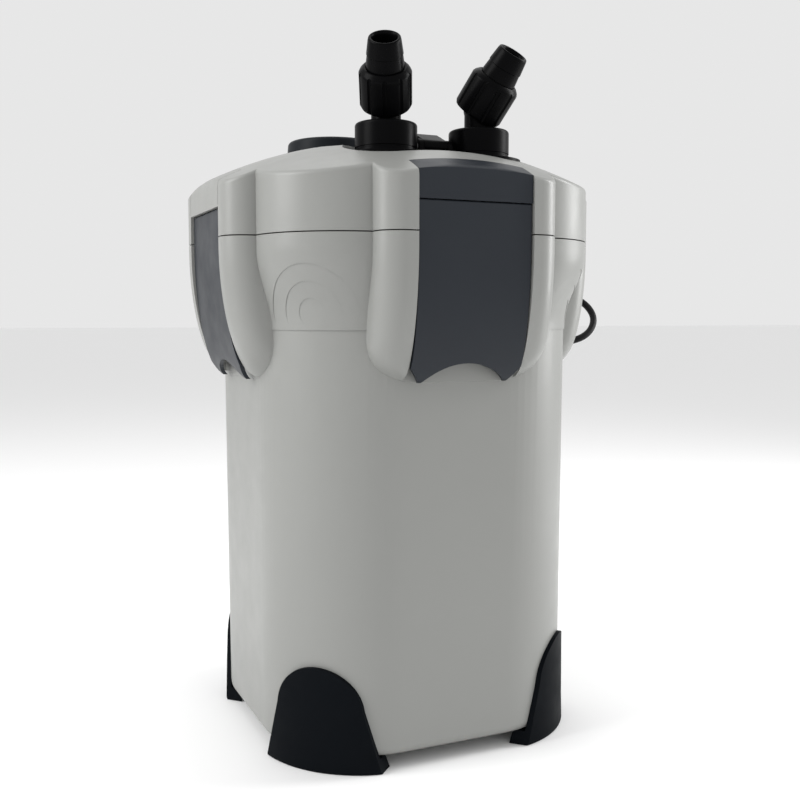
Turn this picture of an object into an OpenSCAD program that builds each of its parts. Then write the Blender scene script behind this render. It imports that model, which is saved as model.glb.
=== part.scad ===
// Canister filter for an aquarium: a square bucket with rounded corners, a domed motor head held
// down by four bellied latches, a double tap with swivelling hose connectors and a priming button.
// Millimetres. The origin is on the upright axis at the bottom of the feet; the front faces -Y.

/* [Bucket] */
// Half the width of the head and of the bucket's collar, across the flats
collar_half = 122; // [95:0.5:160]
// Radius of the collar's upright corners
collar_corner_r = 62; // [50:1:75]
// How far the plain bucket stands back from the collar
collar_step = 6.5; // [4:0.5:10]
// Radius of the plain bucket's upright corners
bucket_corner_r = 76; // [66:1:86]
// Height of the bucket, from its underside to its rim
bucket_h = 343.2; // [240:1:460]
// Height of the collar that runs round the bucket under the rim
collar_h = 61; // [50:1:80]
// How much the collar draws in at the corners, from rim to lower edge
collar_taper = 14.2; // [8:0.1:14.4]
// Wall and floor thickness of the bucket
bucket_wall = 4; // [3:0.5:6]
// Clear height under the bucket
foot_lift = 9; // [6:1:16]

/* [Lobes and latches] */
// How far the lobes beside each latch stand out from the collar
lobe_stand = 19; // [17:0.5:26]
// Half the width of a face block, over both lobes
lobe_half = 64; // [62:1:72]
// Radius of a lobe's upright outer edge
lobe_nose_r = 17; // [10:1:18]
// Depth by which a lobe's belly draws in at its lower end
lobe_belly = 30; // [28:1:34]
// Height of the belly curve
belly_drop = 92; // [80:1:104]
// Radius of the lobes' lower corners
lobe_lower_r = 28; // [20:1:34]
// Half the width of the opening between the lobes
latch_gap_half = 41; // [36:1:44]
// How far a latch lies back from the lobes' outer faces
latch_inset = 2; // [1:0.5:4]
// Thickness of a latch's panel
latch_t = 3; // [2.5:0.5:4]
// Depth by which a latch's panel draws in towards its tips
latch_belly = 22; // [18:1:23]
// Radius of the barrel at a latch's hinge
barrel_r = 8; // [6:0.5:9]
// Rise of the hook above the latch's tips at the middle of the finger arch
arch_rise = 12.5; // [8:0.5:18]
// Distance between the tips on either side of the finger arch
tip_gap = 61; // [40:1:64]
// Rounding of a latch's upper outer edge
brow_r = 3.5; // [2:0.5:5]

/* [Head] */
// Open line between the bucket's rim and the head
seam_gap = 0.8; // [0.4:0.1:1.5]
// Height of the head, from its lower edge to the flat top
head_h = 63; // [58:1:76]
// Height of the head's wall at the corners, up to the dome
eave_h = 36.5; // [33:0.5:42]
// Radius of the domed top
dome_r = 310; // [280:1:380]
// Rounding of the lobes' upper outer edges
lobe_top_r = 9; // [7:0.5:12]
// Wall thickness of the head
head_wall = 4; // [3:0.5:5]
// Radius of the priming button
button_r = 36; // [28:0.5:38]
// Height of the priming button above the flat top
button_rise = 17; // [12:0.5:20]
// Travel of the priming button
button_travel = 10; // [6:1:11]

/* [Hose connectors] */
// Half the distance between the two taps
tap_x = 35; // [32:0.5:40]
// Distance of the taps from the front of the collar
tap_inset = 46.5; // [42:0.5:56]
// Depth of the tap plate's shelf below the flat top
shelf_drop = 11.5; // [10:0.5:15]
// Radius of the tap plate around each tap
plate_r = 29; // [26:0.5:30]
// Thickness of the tap plate
plate_t = 3; // [2:0.5:4]
// Outer radius of a tap's collar
tap_collar_r = 21.5; // [19:0.5:23]
// Height of a tap's collar
tap_collar_h = 20.5; // [18:0.5:24]
// Outer radius of the elbow's tube
neck_r = 10; // [9.5:0.1:11]
// Radius of the water way through the elbow
bore_r = 7.5; // [6:0.5:8.5]
// Tilt of the hose tails from the upright, in degrees
hose_tilt = 40; // [25:1:45]
// Outward splay of the hose tails, in degrees
hose_splay = 25; // [0:1:40]
// Length of a hose tail from the elbow's bend to its mouth
tail_l = 45; // [40:1:70]
// Outer radius of the hose nut
nut_r = 17.5; // [16.5:0.5:18.5]

/* [Filter beds] */
// Number of media baskets
basket_count = 3; // [3:1:3]
// Wall thickness of a basket
basket_wall = 2.5; // [2:0.5:4]
// Height of the grid that the lowest basket stands on
grid_h = 12; // [8:1:20]
// Outer radius of the pipe that leads water to the bottom
pipe_r = 12; // [11:0.5:14]

/* [Feet] */
// Height of a foot's shoe
foot_h = 70; // [50:1:80]
// Half the width of a foot's shoe on the floor
foot_half = 42.6; // [38:0.2:46]
// How far a shoe stands out from the bucket
foot_t = 3; // [2:0.5:5]

/* [Mains lead] */
// Diameter of the mains lead
cord_d = 6; // [6:0.5:6]
// Turns of the lead across the coil
coil_columns = 2; // [2:1:2]
// Layers of the lead in the coil
coil_layers = 3; // [3:1:3]

/* [Hidden] */
$fn = 64;

eps = 0.5;                 // how far a cutting solid runs past a face
big = 2 * (collar_half + lobe_stand) + 60;
fit_gap = 0.3;             // clearance between pieces that lie side by side
run_gap = 0.06;            // radial clearance of a shaft or spigot that turns

// levels
floor_z = foot_lift + bucket_wall;
rim_z = foot_lift + bucket_h;
head_z = rim_z + seam_gap;
top_z = head_z + head_h;
collar_z = rim_z - collar_h;
belly_z = rim_z - 4.2;
block_z = belly_z - belly_drop;

// bucket and faces
bucket_half = collar_half - collar_step;
inner_half = bucket_half - bucket_wall;
inner_corner_r = bucket_corner_r - bucket_wall;
lobe_out = collar_half + lobe_stand;
rim_corner = (collar_half - collar_corner_r) * sqrt(2) + collar_corner_r;
lobe_wall = 4;
pocket_out = bucket_half + 0.5;
block_in = min(bucket_half, lobe_out - lobe_belly) - 5;   // where a face block ends inside the bucket

// latches
pivot_out = lobe_out - latch_inset - barrel_r;
pivot_z = head_z + barrel_r + 3;
latch_half = latch_gap_half - 1;
latch_out = lobe_out - latch_inset;
tip_z = block_z + 1.3;
ledge_h = 14.2;
ledge_z = rim_z - ledge_h;
ledge_out = pivot_out - 1;
hook_in = pivot_out - 6;
hook_half = 30;
hook_t = 7;
pin_r = 2;
brow_top = barrel_r + 0.2;   // height of a latch's squared top over its pivot
brow_sweep = norm([barrel_r - brow_r, brow_top - brow_r]) + brow_r;
cap_z = pivot_z + brow_sweep + 0.5;
trim_in = collar_half + 3;

// head
dome_c = head_z + eave_h - sqrt(dome_r * dome_r - rim_corner * rim_corner);
edge_in = lobe_out - lobe_top_r;      // where the rounding over a lobe starts
edge_z = dome_c + sqrt(pow(dome_r - lobe_top_r, 2) - edge_in * edge_in);
button_x = -30;
button_y = 39.6;
well_gap = 0.5;
well_floor_z = top_z - 25;
button_z = top_z - 12.5;
post_at = collar_half - 44;
post_r = 6;
screw_r = 1.6;

// taps
tap_y = -(collar_half - tap_inset);
shelf_z = top_z - shelf_drop;
plate_z = shelf_z + plate_t;
collar_top_z = plate_z + tap_collar_h;
bend_z = collar_top_z + 14.5;
flange_r = 16.5;
flange_z = plate_z + 5.5;
flange_t = 4;
thread_r = bore_r + 6.5;
nut_start = -2.5;
nut_l = 27.5;
nut_lip_r = neck_r + 3;
lever_z = plate_z + 7.5;
lever_half = 15;
lever_notch_half = 22;
lever_notch_back = 50.5;
duct_r = 12;
duct_bore_r = 10;

// pump
pump_x = 35;
pump_y = -25;
deck_t = 4;
deck_z = head_z;
lip_h = 15;
well_r = 13.2;
well_wall = 2;
well_top_z = deck_z + 39;
magnet_r = 12.4;
shaft_r = 1.5;
impeller_r = 20;
cover_z = deck_z - 16;
cover_r = 24.5;

// baskets
basket_half = inner_half - 5.5;
basket_corner_r = inner_corner_r - 5.5;
basket_z = floor_z + grid_h;
basket_h = (cover_z - 3 - basket_z) / basket_count;
pipe_wall = 2;
tunnel_r = pipe_r + 1.5;

// mains lead
cord_r = cord_d / 2;
gland_turn = 14;           // round the back right corner, from +X
gland_dip = 40;            // below the horizontal
gland_z = head_z + 14;
gland_l = 26;
coil_at = [60, 165];
coil_r = 33;
plug_at = [-15, 171.9, 7];
route = [[139.5, 79.8, 350.3], [149, 82.5, 342], [160, 85.5, 334.5], [172, 88.5, 328.5], [184, 90.5, 323.5],
         [196, 90, 320.5], [210, 87.5, 319.5], [219, 82, 318], [225.5, 75, 313.5], [228.5, 67.5, 306.5],
         [228, 60.5, 299], [223, 55.5, 291], [215.5, 52.5, 284.5], [206, 52.5, 280], [196, 55.5, 278],
         [188, 60, 277], [177.5, 64.5, 272.5], [169.5, 68.5, 264], [164, 71, 252.5], [161, 72.5, 239],
         [159, 73.5, 222], [157.5, 73.5, 195], [156, 73.5, 160], [154.5, 73.5, 120],
         [153, 74, 80], [151.5, 75, 57], [149, 77.5, 38], [145.5, 83, 22], [140, 91.5, 10.5], [133, 102, 4.5],
         [125, 115, 3], [116, 128, 3], [107, 140.5, 3], [100, 152.5, 3], [96, 165, 3]];
tail = [[60, 195, 15], [47, 194.5, 14.5], [34, 190.5, 12.5], [22, 184, 9.5], [11, 177.5, 7.5], [0, 174, 7]];

// ---------------------------------------------------------------- shared shapes

// Outline of a square with rounded corners
module rounded(half, r) {
    union() {
        square([2 * half, 2 * (half - r)], center = true);
        square([2 * (half - r), 2 * half], center = true);
        for (x = [-1, 1], y = [-1, 1]) translate([x * (half - r), y * (half - r)]) circle(r);
    }
}

// Upright rounded-square block from z0 to z1
module prism(half, r, z0, z1) {
    translate([0, 0, z0]) linear_extrude(z1 - z0) rounded(half, r);
}

// Box given by its two corners
module slab(a, b) {
    translate(a) cube(b - a);
}

// Copies on the four faces: 0 front, 1 right, 2 back, 3 left
module on_face(k) {
    rotate([0, 0, 90 * k]) children();
}

// Plan of one face block, facing -Y
module block_plan(half, out, r) {
    union() {
        translate([-half, -(out - r)]) square([2 * half, out - r]);
        translate([-(half - r), -out]) square([2 * (half - r), out]);
        for (x = [-1, 1]) translate([x * (half - r), -(out - r)]) circle(r);
    }
}

// Side profile, [out, z], extruded along a face that looks to -Y
module along_face(half) {
    rotate([90, 0, -90]) translate([0, 0, -half]) linear_extrude(2 * half) children();
}

// Front outline, [x, z], pushed out through a face that looks to -Y
module through_face(out0, out1) {
    translate([0, -out0, 0]) rotate([90, 0, 0]) linear_extrude(out1 - out0) children();
}

// Bellied outer line from the top of the belly down to height z
function belly_line(out, depth, z_end, steps) =
    let (t_end = asin((belly_z - z_end) / belly_drop))
    [for (i = [0 : steps]) let (t = t_end * i / steps)
        [out - depth * (1 - cos(t)), belly_z - belly_drop * sin(t)]];

function unit(v) = v / norm(v);
function cubic(a, b, c, d, t) =
    (pow(1 - t, 3) * a + (3 * pow(t, 3) - 6 * t * t + 4) * b
     + (-3 * pow(t, 3) + 3 * t * t + 3 * t + 1) * c + pow(t, 3) * d) / 6;
function smooth_line(p, k) =
    let (n = len(p), q = concat([2 * p[0] - p[1]], p, [2 * p[n - 1] - p[n - 2]]))
    [for (i = [0 : n - 2], j = [0 : k - 1]) cubic(q[i], q[i + 1], q[i + 2], q[i + 3], j / k),
     p[n - 1]];
function tangents(p) =
    [for (i = [0 : len(p) - 1]) unit(p[min(i + 1, len(p) - 1)] - p[max(i - 1, 0)])];
function carry(t, n, i = 0) =
    i >= len(t) ? [] :
    let (m = unit(n - (n * t[i]) * t[i])) concat([m], carry(t, m, i + 1));

// Round tube along a line of points
module sweep(p, r, sides) {
    t = tangents(p);
    n = carry(t, abs(t[0].z) > 0.9 ? [1, 0, 0] : [0, 0, 1]);
    rings = [for (i = [0 : len(p) - 1]) let (b = cross(t[i], n[i]))
        for (k = [0 : sides - 1])
            p[i] + r * (cos(360 * k / sides) * n[i] + sin(360 * k / sides) * b)];
    walls = [for (i = [0 : len(p) - 2], k = [0 : sides - 1]) let (l = (k + 1) % sides)
        [i * sides + k, (i + 1) * sides + k, (i + 1) * sides + l, i * sides + l]];
    first = [[for (k = [0 : sides - 1]) k]];
    last = [[for (k = [0 : sides - 1]) (len(p) - 1) * sides + sides - 1 - k]];
    polyhedron(rings, concat(first, walls, last), convexity = 6);
}

// ---------------------------------------------------------------- bucket

// One bellied block with two lobes, facing -Y
module bucket_block() {
    line = belly_line(lobe_out, lobe_belly, block_z, 12);
    intersection() {
        translate([0, 0, block_z]) linear_extrude(rim_z - block_z)
            block_plan(lobe_half, lobe_out, lobe_nose_r);
        along_face(lobe_half + 1)
            polygon(concat([[block_in, rim_z], [lobe_out, rim_z]], line, [[block_in, block_z]]));
        through_face(bucket_half - 10, lobe_out + 5) union() {
            translate([-(lobe_half + 5), block_z + lobe_lower_r])
                square([2 * (lobe_half + 5), belly_drop]);
            translate([-(lobe_half - lobe_lower_r), block_z - 5])
                square([2 * (lobe_half - lobe_lower_r), belly_drop]);
            for (x = [-1, 1]) translate([x * (lobe_half - lobe_lower_r), block_z + lobe_lower_r])
                circle(lobe_lower_r + 0.6);
        }
    }
}

// Space in which a latch lies, under and in front of the hook's ledge
module bucket_pocket() {
    slab([-latch_gap_half, -(lobe_out + 5), block_z - 5], [latch_gap_half, -pocket_out, ledge_z]);
    slab([-latch_gap_half, -(lobe_out + 5), ledge_z - eps], [latch_gap_half, -ledge_out, rim_z + 5]);
    for (x = [-1, 1])
        translate([x * (latch_gap_half + lobe_half) / 2, -(collar_half + lobe_stand / 2), ledge_z - 30])
            translate([-5, -5, 0]) cube([10, 10, rim_z]);
}

module bucket() {
    color("gainsboro") difference() {
        union() {
            prism(bucket_half, bucket_corner_r, foot_lift, rim_z);
            intersection() {
                prism(collar_half, collar_corner_r, collar_z, rim_z);
                rotate_extrude($fn = 128) polygon(concat([[0, collar_z]],
                    [for (i = [0 : 8]) let (t = 1 - i / 8)
                        [rim_corner + 0.2 - (collar_taper + 0.2) * t * t * (3 - 2 * t),
                         collar_z + (collar_h - 8) * i / 8]],
                    [[rim_corner + 0.2, rim_z + 1], [0, rim_z + 1]]));
            }
            for (k = [0 : 3]) on_face(k) bucket_block();
        }
        prism(inner_half, inner_corner_r, floor_z, rim_z + 5);
        difference() {
            prism(inner_half + 6.5, inner_corner_r + 6.5, rim_z - 3, rim_z + 5);
            prism(inner_half + 2.5, inner_corner_r + 2.5, rim_z - 4, rim_z + 6);
        }
        for (k = [0 : 3]) on_face(k) bucket_pocket();
    }
}

module main_seal() {
    color("dimgray") difference() {
        prism(inner_half + 6.4, inner_corner_r + 6.4, rim_z - 3, head_z);
        prism(inner_half + 2.6, inner_corner_r + 2.6, rim_z - 4, head_z + 1);
    }
}

// ---------------------------------------------------------------- latches

// Latch on the front face: barrel, bellied panel with a finger arch, hook
module latch() {
    line = belly_line(latch_out, latch_belly, tip_z, 12);
    back = [for (i = [len(line) - 1 : -1 : 0]) line[i] - [latch_t, 0]];
    arch_r = (pow(tip_gap / 2, 2) + pow(arch_rise, 2)) / (2 * arch_rise);
    difference() {
        union() {
            translate([-latch_half, -pivot_out, pivot_z]) rotate([0, 90, 0])
                cylinder(r = barrel_r, h = 2 * latch_half);
            along_face(latch_half)
                polygon(concat([[latch_out, pivot_z]], line, back, [[latch_out - latch_t, pivot_z]]));
            along_face(latch_half)
                polygon(concat([[pivot_out, pivot_z], [latch_out, pivot_z]],
                    [for (t = [0 : 15 : 90]) [latch_out - brow_r + brow_r * cos(t),
                                              pivot_z + brow_top - brow_r + brow_r * sin(t)]],
                    [[pivot_out, pivot_z + brow_top]]));
            slab([-hook_half, -(latch_out - latch_t / 2), ledge_z - 0.4 - hook_t],
                 [hook_half, -hook_in, ledge_z - 0.4]);
        }
        translate([-latch_half - eps, -pivot_out, pivot_z]) rotate([0, 90, 0])
            cylinder(r = pin_r + run_gap, h = 2 * latch_half + 2 * eps);
        translate([0, -(pocket_out - 5), tip_z + arch_rise - arch_r]) rotate([90, 0, 0])
            cylinder(r = arch_r, h = lobe_stand + 30);
        for (x = [-1, 1]) through_face(pocket_out - 5, lobe_out + 5)
            polygon([[x * (tip_gap / 2 + 1), tip_z - 1], [x * (latch_half + 1), tip_z + 11],
                     [x * (latch_half + 1), tip_z - 1]]);
    }
}

module latch_front() { color("slategray") on_face(0) latch(); }
module latch_right() { color("slategray") on_face(1) latch(); }
module latch_back() { color("slategray") on_face(2) latch(); }
module latch_left() { color("slategray") on_face(3) latch(); }

module latch_pins() {
    half = latch_gap_half + lobe_wall;
    color("silver") for (k = [0 : 3]) on_face(k)
        translate([-half, -pivot_out, pivot_z]) rotate([0, 90, 0]) cylinder(r = pin_r, h = 2 * half);
}

// ---------------------------------------------------------------- feet

// Foot at the corner that points to +X +Y
module foot() {
    color("black") intersection() {
        difference() {
            prism(bucket_half + foot_t, bucket_corner_r + foot_t, 0, foot_h);
            prism(bucket_half + 0.1, bucket_corner_r + 0.1, foot_lift, foot_h + 1);
            prism(bucket_half - 14, bucket_corner_r - 14, -1, foot_h + 1);
        }
        rotate([0, 0, 45]) rotate([90, 0, 90]) linear_extrude(big) union() {
            polygon([[-foot_half, 0], [foot_half, 0],
                     [0.8 * foot_half, foot_h / 2], [-0.8 * foot_half, foot_h / 2]]);
            translate([0, foot_h - 0.8 * foot_half]) circle(0.8 * foot_half);
        }
    }
}

module foot_back_right() { foot(); }
module foot_back_left() { rotate([0, 0, 90]) foot(); }
module foot_front_left() { rotate([0, 0, 180]) foot(); }
module foot_front_right() { rotate([0, 0, 270]) foot(); }

// ---------------------------------------------------------------- head

// Space under the dome, set in from its surface
module under_dome(inset) {
    intersection() {
        translate([0, 0, dome_c]) sphere(dome_r - inset, $fn = 128);
        slab([-big / 2, -big / 2, head_z - 5], [big / 2, big / 2, top_z - inset]);
    }
}

// Bar across the whole head with the lobes' rounded upper edges, set in from its surface
module eave_bar(inset) {
    r = lobe_top_r - inset;
    reach = edge_in + r * edge_in / (dome_r - lobe_top_r);
    rotate([90, 0, 90]) translate([0, 0, -big / 2]) linear_extrude(big) union() {
        translate([-(edge_in + r + 1), head_z - 5]) square([2 * (edge_in + r + 1), edge_z - head_z + 5]);
        translate([-reach, head_z - 5]) square([2 * reach, head_h + 20]);
        for (x = [-1, 1]) translate([x * edge_in, edge_z]) circle(r + 0.5);
    }
}

// Plan of the whole head, set in from its outline
module head_plan(inset) {
    union() {
        rounded(collar_half - inset, collar_corner_r - inset);
        for (k = [0 : 3]) rotate(90 * k)
            block_plan(lobe_half - inset, lobe_out - inset, lobe_nose_r - inset);
    }
}

// The head as a solid, set in from its surface
module head_solid(inset, z0) {
    intersection() {
        translate([0, 0, z0]) linear_extrude(head_h + 10) head_plan(inset);
        under_dome(inset);
        eave_bar(inset);
        rotate([0, 0, 90]) eave_bar(inset);
    }
}

// Walls round a latch's pocket, left standing in the hollow; tall ones back a trim piece
module pocket_walls(tall) {
    slab([-(latch_gap_half + lobe_wall), -(lobe_out + 5), head_z - 5],
         [latch_gap_half + lobe_wall, -(collar_half - head_wall), tall ? top_z : cap_z + head_wall]);
}

module head_hollow() {
    difference() {
        head_solid(head_wall, head_z - 2);
        for (k = [0, 2]) on_face(k) pocket_walls(true);
        for (k = [1, 3]) on_face(k) pocket_walls(false);
    }
}

// Plan of the tap plate, grown by an edge
module tap_plan(edge) {
    union() {
        for (x = [-1, 1]) translate([x * tap_x, tap_y]) circle(plate_r + edge);
        translate([-tap_x, tap_y - plate_r - edge]) square([2 * tap_x, 2 * (plate_r + edge)]);
    }
}

// Recess for the tap plate and the lever, grown by an edge
module tap_recess(edge, z0) {
    translate([0, 0, z0]) linear_extrude(top_z - z0 + 5) union() {
        tap_plan(fit_gap + edge);
        translate([-(lever_notch_half + edge), tap_y])
            square([2 * (lever_notch_half + edge), lever_notch_back + edge]);
    }
}

// Line of the strain relief, seen from its outer wall: +Z points along the lead
module at_gland() {
    corner = collar_half - collar_corner_r;
    translate([corner + collar_corner_r * cos(gland_turn), corner + collar_corner_r * sin(gland_turn),
               gland_z])
        rotate([0, 90 + gland_dip, gland_turn]) children();
}

module head_shell() {
    color("gainsboro") difference() {
        union() {
            difference() {
                head_solid(0, head_z);
                head_hollow();
            }
            intersection() {
                head_solid(1, head_z);
                union() {
                    translate([button_x, button_y, well_floor_z - head_wall])
                        cylinder(r = button_r + well_gap + head_wall, h = top_z);
                    tap_recess(head_wall, shelf_z - head_wall);
                    for (x = [-1, 1], y = [-1, 1]) translate([x * post_at, y * post_at, head_z + deck_t])
                        cylinder(r = post_r, h = head_h);
                }
            }
        }
        translate([button_x, button_y, well_floor_z]) cylinder(r = button_r + well_gap, h = head_h);
        tap_recess(0, shelf_z);
        for (x = [-1, 1]) translate([x * tap_x, tap_y, shelf_z - head_wall - 1])
            cylinder(r = duct_r + 0.2, h = head_wall + 2);
        for (x = [-1, 1], y = [-1, 1]) translate([x * post_at, y * post_at, head_z])
            cylinder(r = screw_r + 0.05, h = deck_t + 20);
        for (k = [0 : 3]) on_face(k) {
            slab([-latch_gap_half, -(lobe_out + 5), head_z - 5],
                 [latch_gap_half, -(collar_half - 0.5), cap_z]);
            translate([-(latch_gap_half + lobe_wall + eps), -pivot_out, pivot_z]) rotate([0, 90, 0])
                cylinder(r = pin_r + 0.02, h = 2 * (latch_gap_half + lobe_wall + eps));
        }
        for (k = [0, 2]) on_face(k)
            slab([-latch_gap_half, -(lobe_out + 5), cap_z - 1], [latch_gap_half, -trim_in, top_z]);
        at_gland() translate([0, 0, -12]) cylinder(r = 5.1, h = 20);
    }
}

// Dark trim that fills the eave above the front latch
module trim() {
    color("darkslategray") difference() {
        intersection() {
            slab([-(latch_gap_half - 0.2), -lobe_out, cap_z],
                 [latch_gap_half - 0.2, -(trim_in + fit_gap), top_z]);
            under_dome(0);
            eave_bar(0);
        }
        intersection() {
            slab([-(latch_gap_half - 3.2), -(lobe_out - 3), cap_z + 3],
                 [latch_gap_half - 3.2, -(trim_in - 1), top_z]);
            under_dome(3);
        }
    }
}

module front_trim() { on_face(0) trim(); }
module back_trim() { on_face(2) trim(); }

module priming_button() {
    color("darkslategray") translate([button_x, button_y, button_z]) difference() {
        rotate_extrude() polygon(concat([[0, 0], [button_r, 0], [button_r, top_z - button_z + 1]],
            [for (t = [0 : 15 : 90]) [button_r - 5 + 4 * cos(t),
                                      top_z - button_z + button_rise - 4 + 4 * sin(t)]],
            [[0, top_z - button_z + button_rise]]));
        translate([0, 0, -1]) cylinder(r = button_r - 3, h = top_z - button_z + button_rise - 3);
    }
}

// Conical return spring between the well's floor and the button
module primer_spring() {
    turns = 4;
    z0 = well_floor_z + 1.2;
    z1 = top_z + button_rise - 5.2;
    steps = 14;
    color("silver") translate([button_x, button_y, 0])
        sweep([for (i = [0 : turns * steps]) let (s = i / (turns * steps))
            [(24 - 8 * s) * cos(360 * i / steps), (24 - 8 * s) * sin(360 * i / steps),
             z0 + (z1 - z0) * s]], 1, 8);
}

module head_screws() {
    color("silver") for (x = [-1, 1], y = [-1, 1]) translate([x * post_at, y * post_at, head_z])
        union() {
            translate([0, 0, -2.4]) cylinder(r = 3.6, h = 2.4);
            cylinder(r = screw_r, h = deck_t + 16);
        }
}

// ---------------------------------------------------------------- taps and hose connectors

module tap_plate() {
    color("black") translate([0, 0, shelf_z]) difference() {
        union() {
            linear_extrude(plate_t) tap_plan(0);
            for (x = [-1, 1]) translate([x * 10.6, tap_y, lever_z - shelf_z]) rotate([0, 90, 0])
                cylinder(r = 5, h = 3.4, center = true);
            for (x = [-1, 1]) translate([x * 10.6 - 1.7, tap_y - 5, plate_t - 1])
                cube([3.4, 10, lever_z - plate_z + 1]);
        }
        for (x = [-1, 1]) translate([x * tap_x, tap_y, -1]) cylinder(r = bore_r, h = plate_t + 2);
        translate([-20, tap_y, lever_z - shelf_z]) rotate([0, 90, 0])
            cylinder(r = pin_r + 0.02, h = 40);
    }
}

module lever_pin() {
    color("silver") translate([-12.3, tap_y, lever_z]) rotate([0, 90, 0]) cylinder(r = pin_r, h = 24.6);
}

module tap_lever() {
    arm_half = 8.6;
    color("black") translate([0, tap_y, lever_z]) difference() {
        union() {
            translate([-arm_half, 0, 0]) rotate([0, 90, 0]) cylinder(r = 5, h = 2 * arm_half);
            rotate([90, 0, 90]) translate([0, 0, -arm_half]) linear_extrude(2 * arm_half)
                polygon([[-1, -4.9], [20, -3], [20, 10.5], [12, 10.5], [-1, 4.9]]);
            rotate([90, 0, 90]) translate([0, 0, -lever_half]) linear_extrude(2 * lever_half)
                polygon([[18.5, -3], [37, -3], [37, 2], [29, 10.5], [18.5, 10.5]]);
        }
        translate([-arm_half - 1, 0, 0]) rotate([0, 90, 0])
            cylinder(r = pin_r + run_gap, h = 2 * arm_half + 2);
    }
}

// Collar that holds an elbow's flange down and lets it turn
module tap_collar(side) {
    chamber_z = flange_z + flange_t + 0.3;
    color("black") translate([side * tap_x, tap_y, 0]) rotate_extrude($fn = 96)
        polygon([[flange_r + 0.5, plate_z], [tap_collar_r, plate_z],
                 [tap_collar_r, collar_top_z - 1.5], [tap_collar_r - 1.5, collar_top_z],
                 [neck_r + run_gap, collar_top_z], [neck_r + run_gap, chamber_z],
                 [flange_r + 0.5, chamber_z]]);
}

module inlet_collar() { tap_collar(-1); }
module outlet_collar() { tap_collar(1); }

// Line of a hose tail: the origin at the elbow's bend, +Z out of the mouth
module at_tail(side) {
    translate([side * tap_x, tap_y, bend_z]) rotate([0, 0, side * hose_splay])
        rotate([hose_tilt, 0, 0]) children();
}

module elbow(side) {
    color("black") difference() {
        union() {
            translate([side * tap_x, tap_y, plate_z + 0.4]) cylinder(r = neck_r, h = bend_z - plate_z - 0.4);
            translate([side * tap_x, tap_y, flange_z]) cylinder(r = flange_r, h = flange_t);
            translate([side * tap_x, tap_y, bend_z]) sphere(neck_r + 0.6);
            at_tail(side) {
                translate([0, 0, 3]) cylinder(r = thread_r, h = nut_l - 8.5);
                translate([0, 0, 20]) cylinder(r = nut_lip_r - 0.4, h = 5);
                rotate_extrude() polygon([[0, 24], [nut_lip_r - 0.4, 24], [nut_lip_r - 0.4, 27],
                    [neck_r + 1.2, tail_l - 9], [neck_r + 1.8, tail_l - 9], [neck_r, tail_l],
                    [0, tail_l]]);
            }
        }
        translate([side * tap_x, tap_y, plate_z - 1]) cylinder(r = bore_r, h = bend_z - plate_z + 4);
        at_tail(side) translate([0, 0, -1]) cylinder(r = bore_r, h = tail_l + 2);
    }
}

module inlet_elbow() { elbow(-1); }
module outlet_elbow() { elbow(1); }

module oring(side) {
    color("dimgray") translate([side * tap_x, tap_y, flange_z - 1.8])
        rotate_extrude() translate([neck_r + 1.75, 0]) circle(1.7);
}

module inlet_oring() { oring(-1); }
module outlet_oring() { oring(1); }

module hose_nut(side) {
    end = nut_start + nut_l;
    lugs = 10;
    groove_r = 1.6;
    color("black") at_tail(side) difference() {
        rotate_extrude($fn = 96) polygon([[neck_r + 5.6, nut_start], [nut_r - 1, nut_start],
            [nut_r, nut_start + 2], [nut_r, end - 4], [nut_r - 2.3, end], [nut_lip_r, end],
            [nut_lip_r, end - 3], [thread_r + run_gap, end - 3], [thread_r + run_gap, 1.5],
            [neck_r + 5.6, 1.5]]);
        for (i = [0 : lugs - 1]) rotate([0, 0, 360 * i / lugs])
            translate([nut_r + 0.7, 0, nut_start - 1]) cylinder(r = groove_r, h = nut_l + 2);
    }
}

module inlet_nut() { hose_nut(-1); }
module outlet_nut() { hose_nut(1); }

// ---------------------------------------------------------------- pump

module pump_deck() {
    color("whitesmoke") difference() {
        union() {
            prism(collar_half - head_wall - 0.5, collar_corner_r - head_wall - 0.5,
                  deck_z, deck_z + deck_t);
            difference() {
                prism(inner_half - fit_gap, inner_corner_r - fit_gap, deck_z - lip_h, deck_z + 1);
                prism(inner_half - fit_gap - 4, inner_corner_r - fit_gap - 4,
                      deck_z - lip_h - 1, deck_z);
            }
            translate([pump_x, pump_y, deck_z]) cylinder(r = well_r + well_wall, h = well_top_z - deck_z + 3);
            for (x = [-1, 1]) translate([x * tap_x, tap_y, deck_z]) cylinder(r = duct_r, h = shelf_z - deck_z);
        }
        translate([pump_x, pump_y, deck_z - 1]) cylinder(r = well_r, h = well_top_z - deck_z + 1);
        for (x = [-1, 1]) translate([x * tap_x, tap_y, deck_z - 1])
            cylinder(r = duct_bore_r, h = shelf_z - deck_z + 2);
        for (x = [-1, 1], y = [-1, 1]) translate([x * post_at, y * post_at, deck_z - 1])
            cylinder(r = screw_r + 0.5, h = deck_t + 2);
    }
}

module motor_block() {
    color("darkslateblue") translate([pump_x, pump_y, deck_z + deck_t + fit_gap]) difference() {
        union() {
            cylinder(r = 28, h = 34);
            translate([-16, -30, 4]) cube([32, 60, 24]);
        }
        translate([0, 0, -1]) cylinder(r = well_r + well_wall + fit_gap, h = 40);
    }
}

module rotor_magnet() {
    color("dimgray") translate([pump_x, pump_y, deck_z + 3]) difference() {
        cylinder(r = magnet_r, h = 30);
        translate([0, 0, -1]) cylinder(r = shaft_r + run_gap, h = 32);
    }
}

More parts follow.
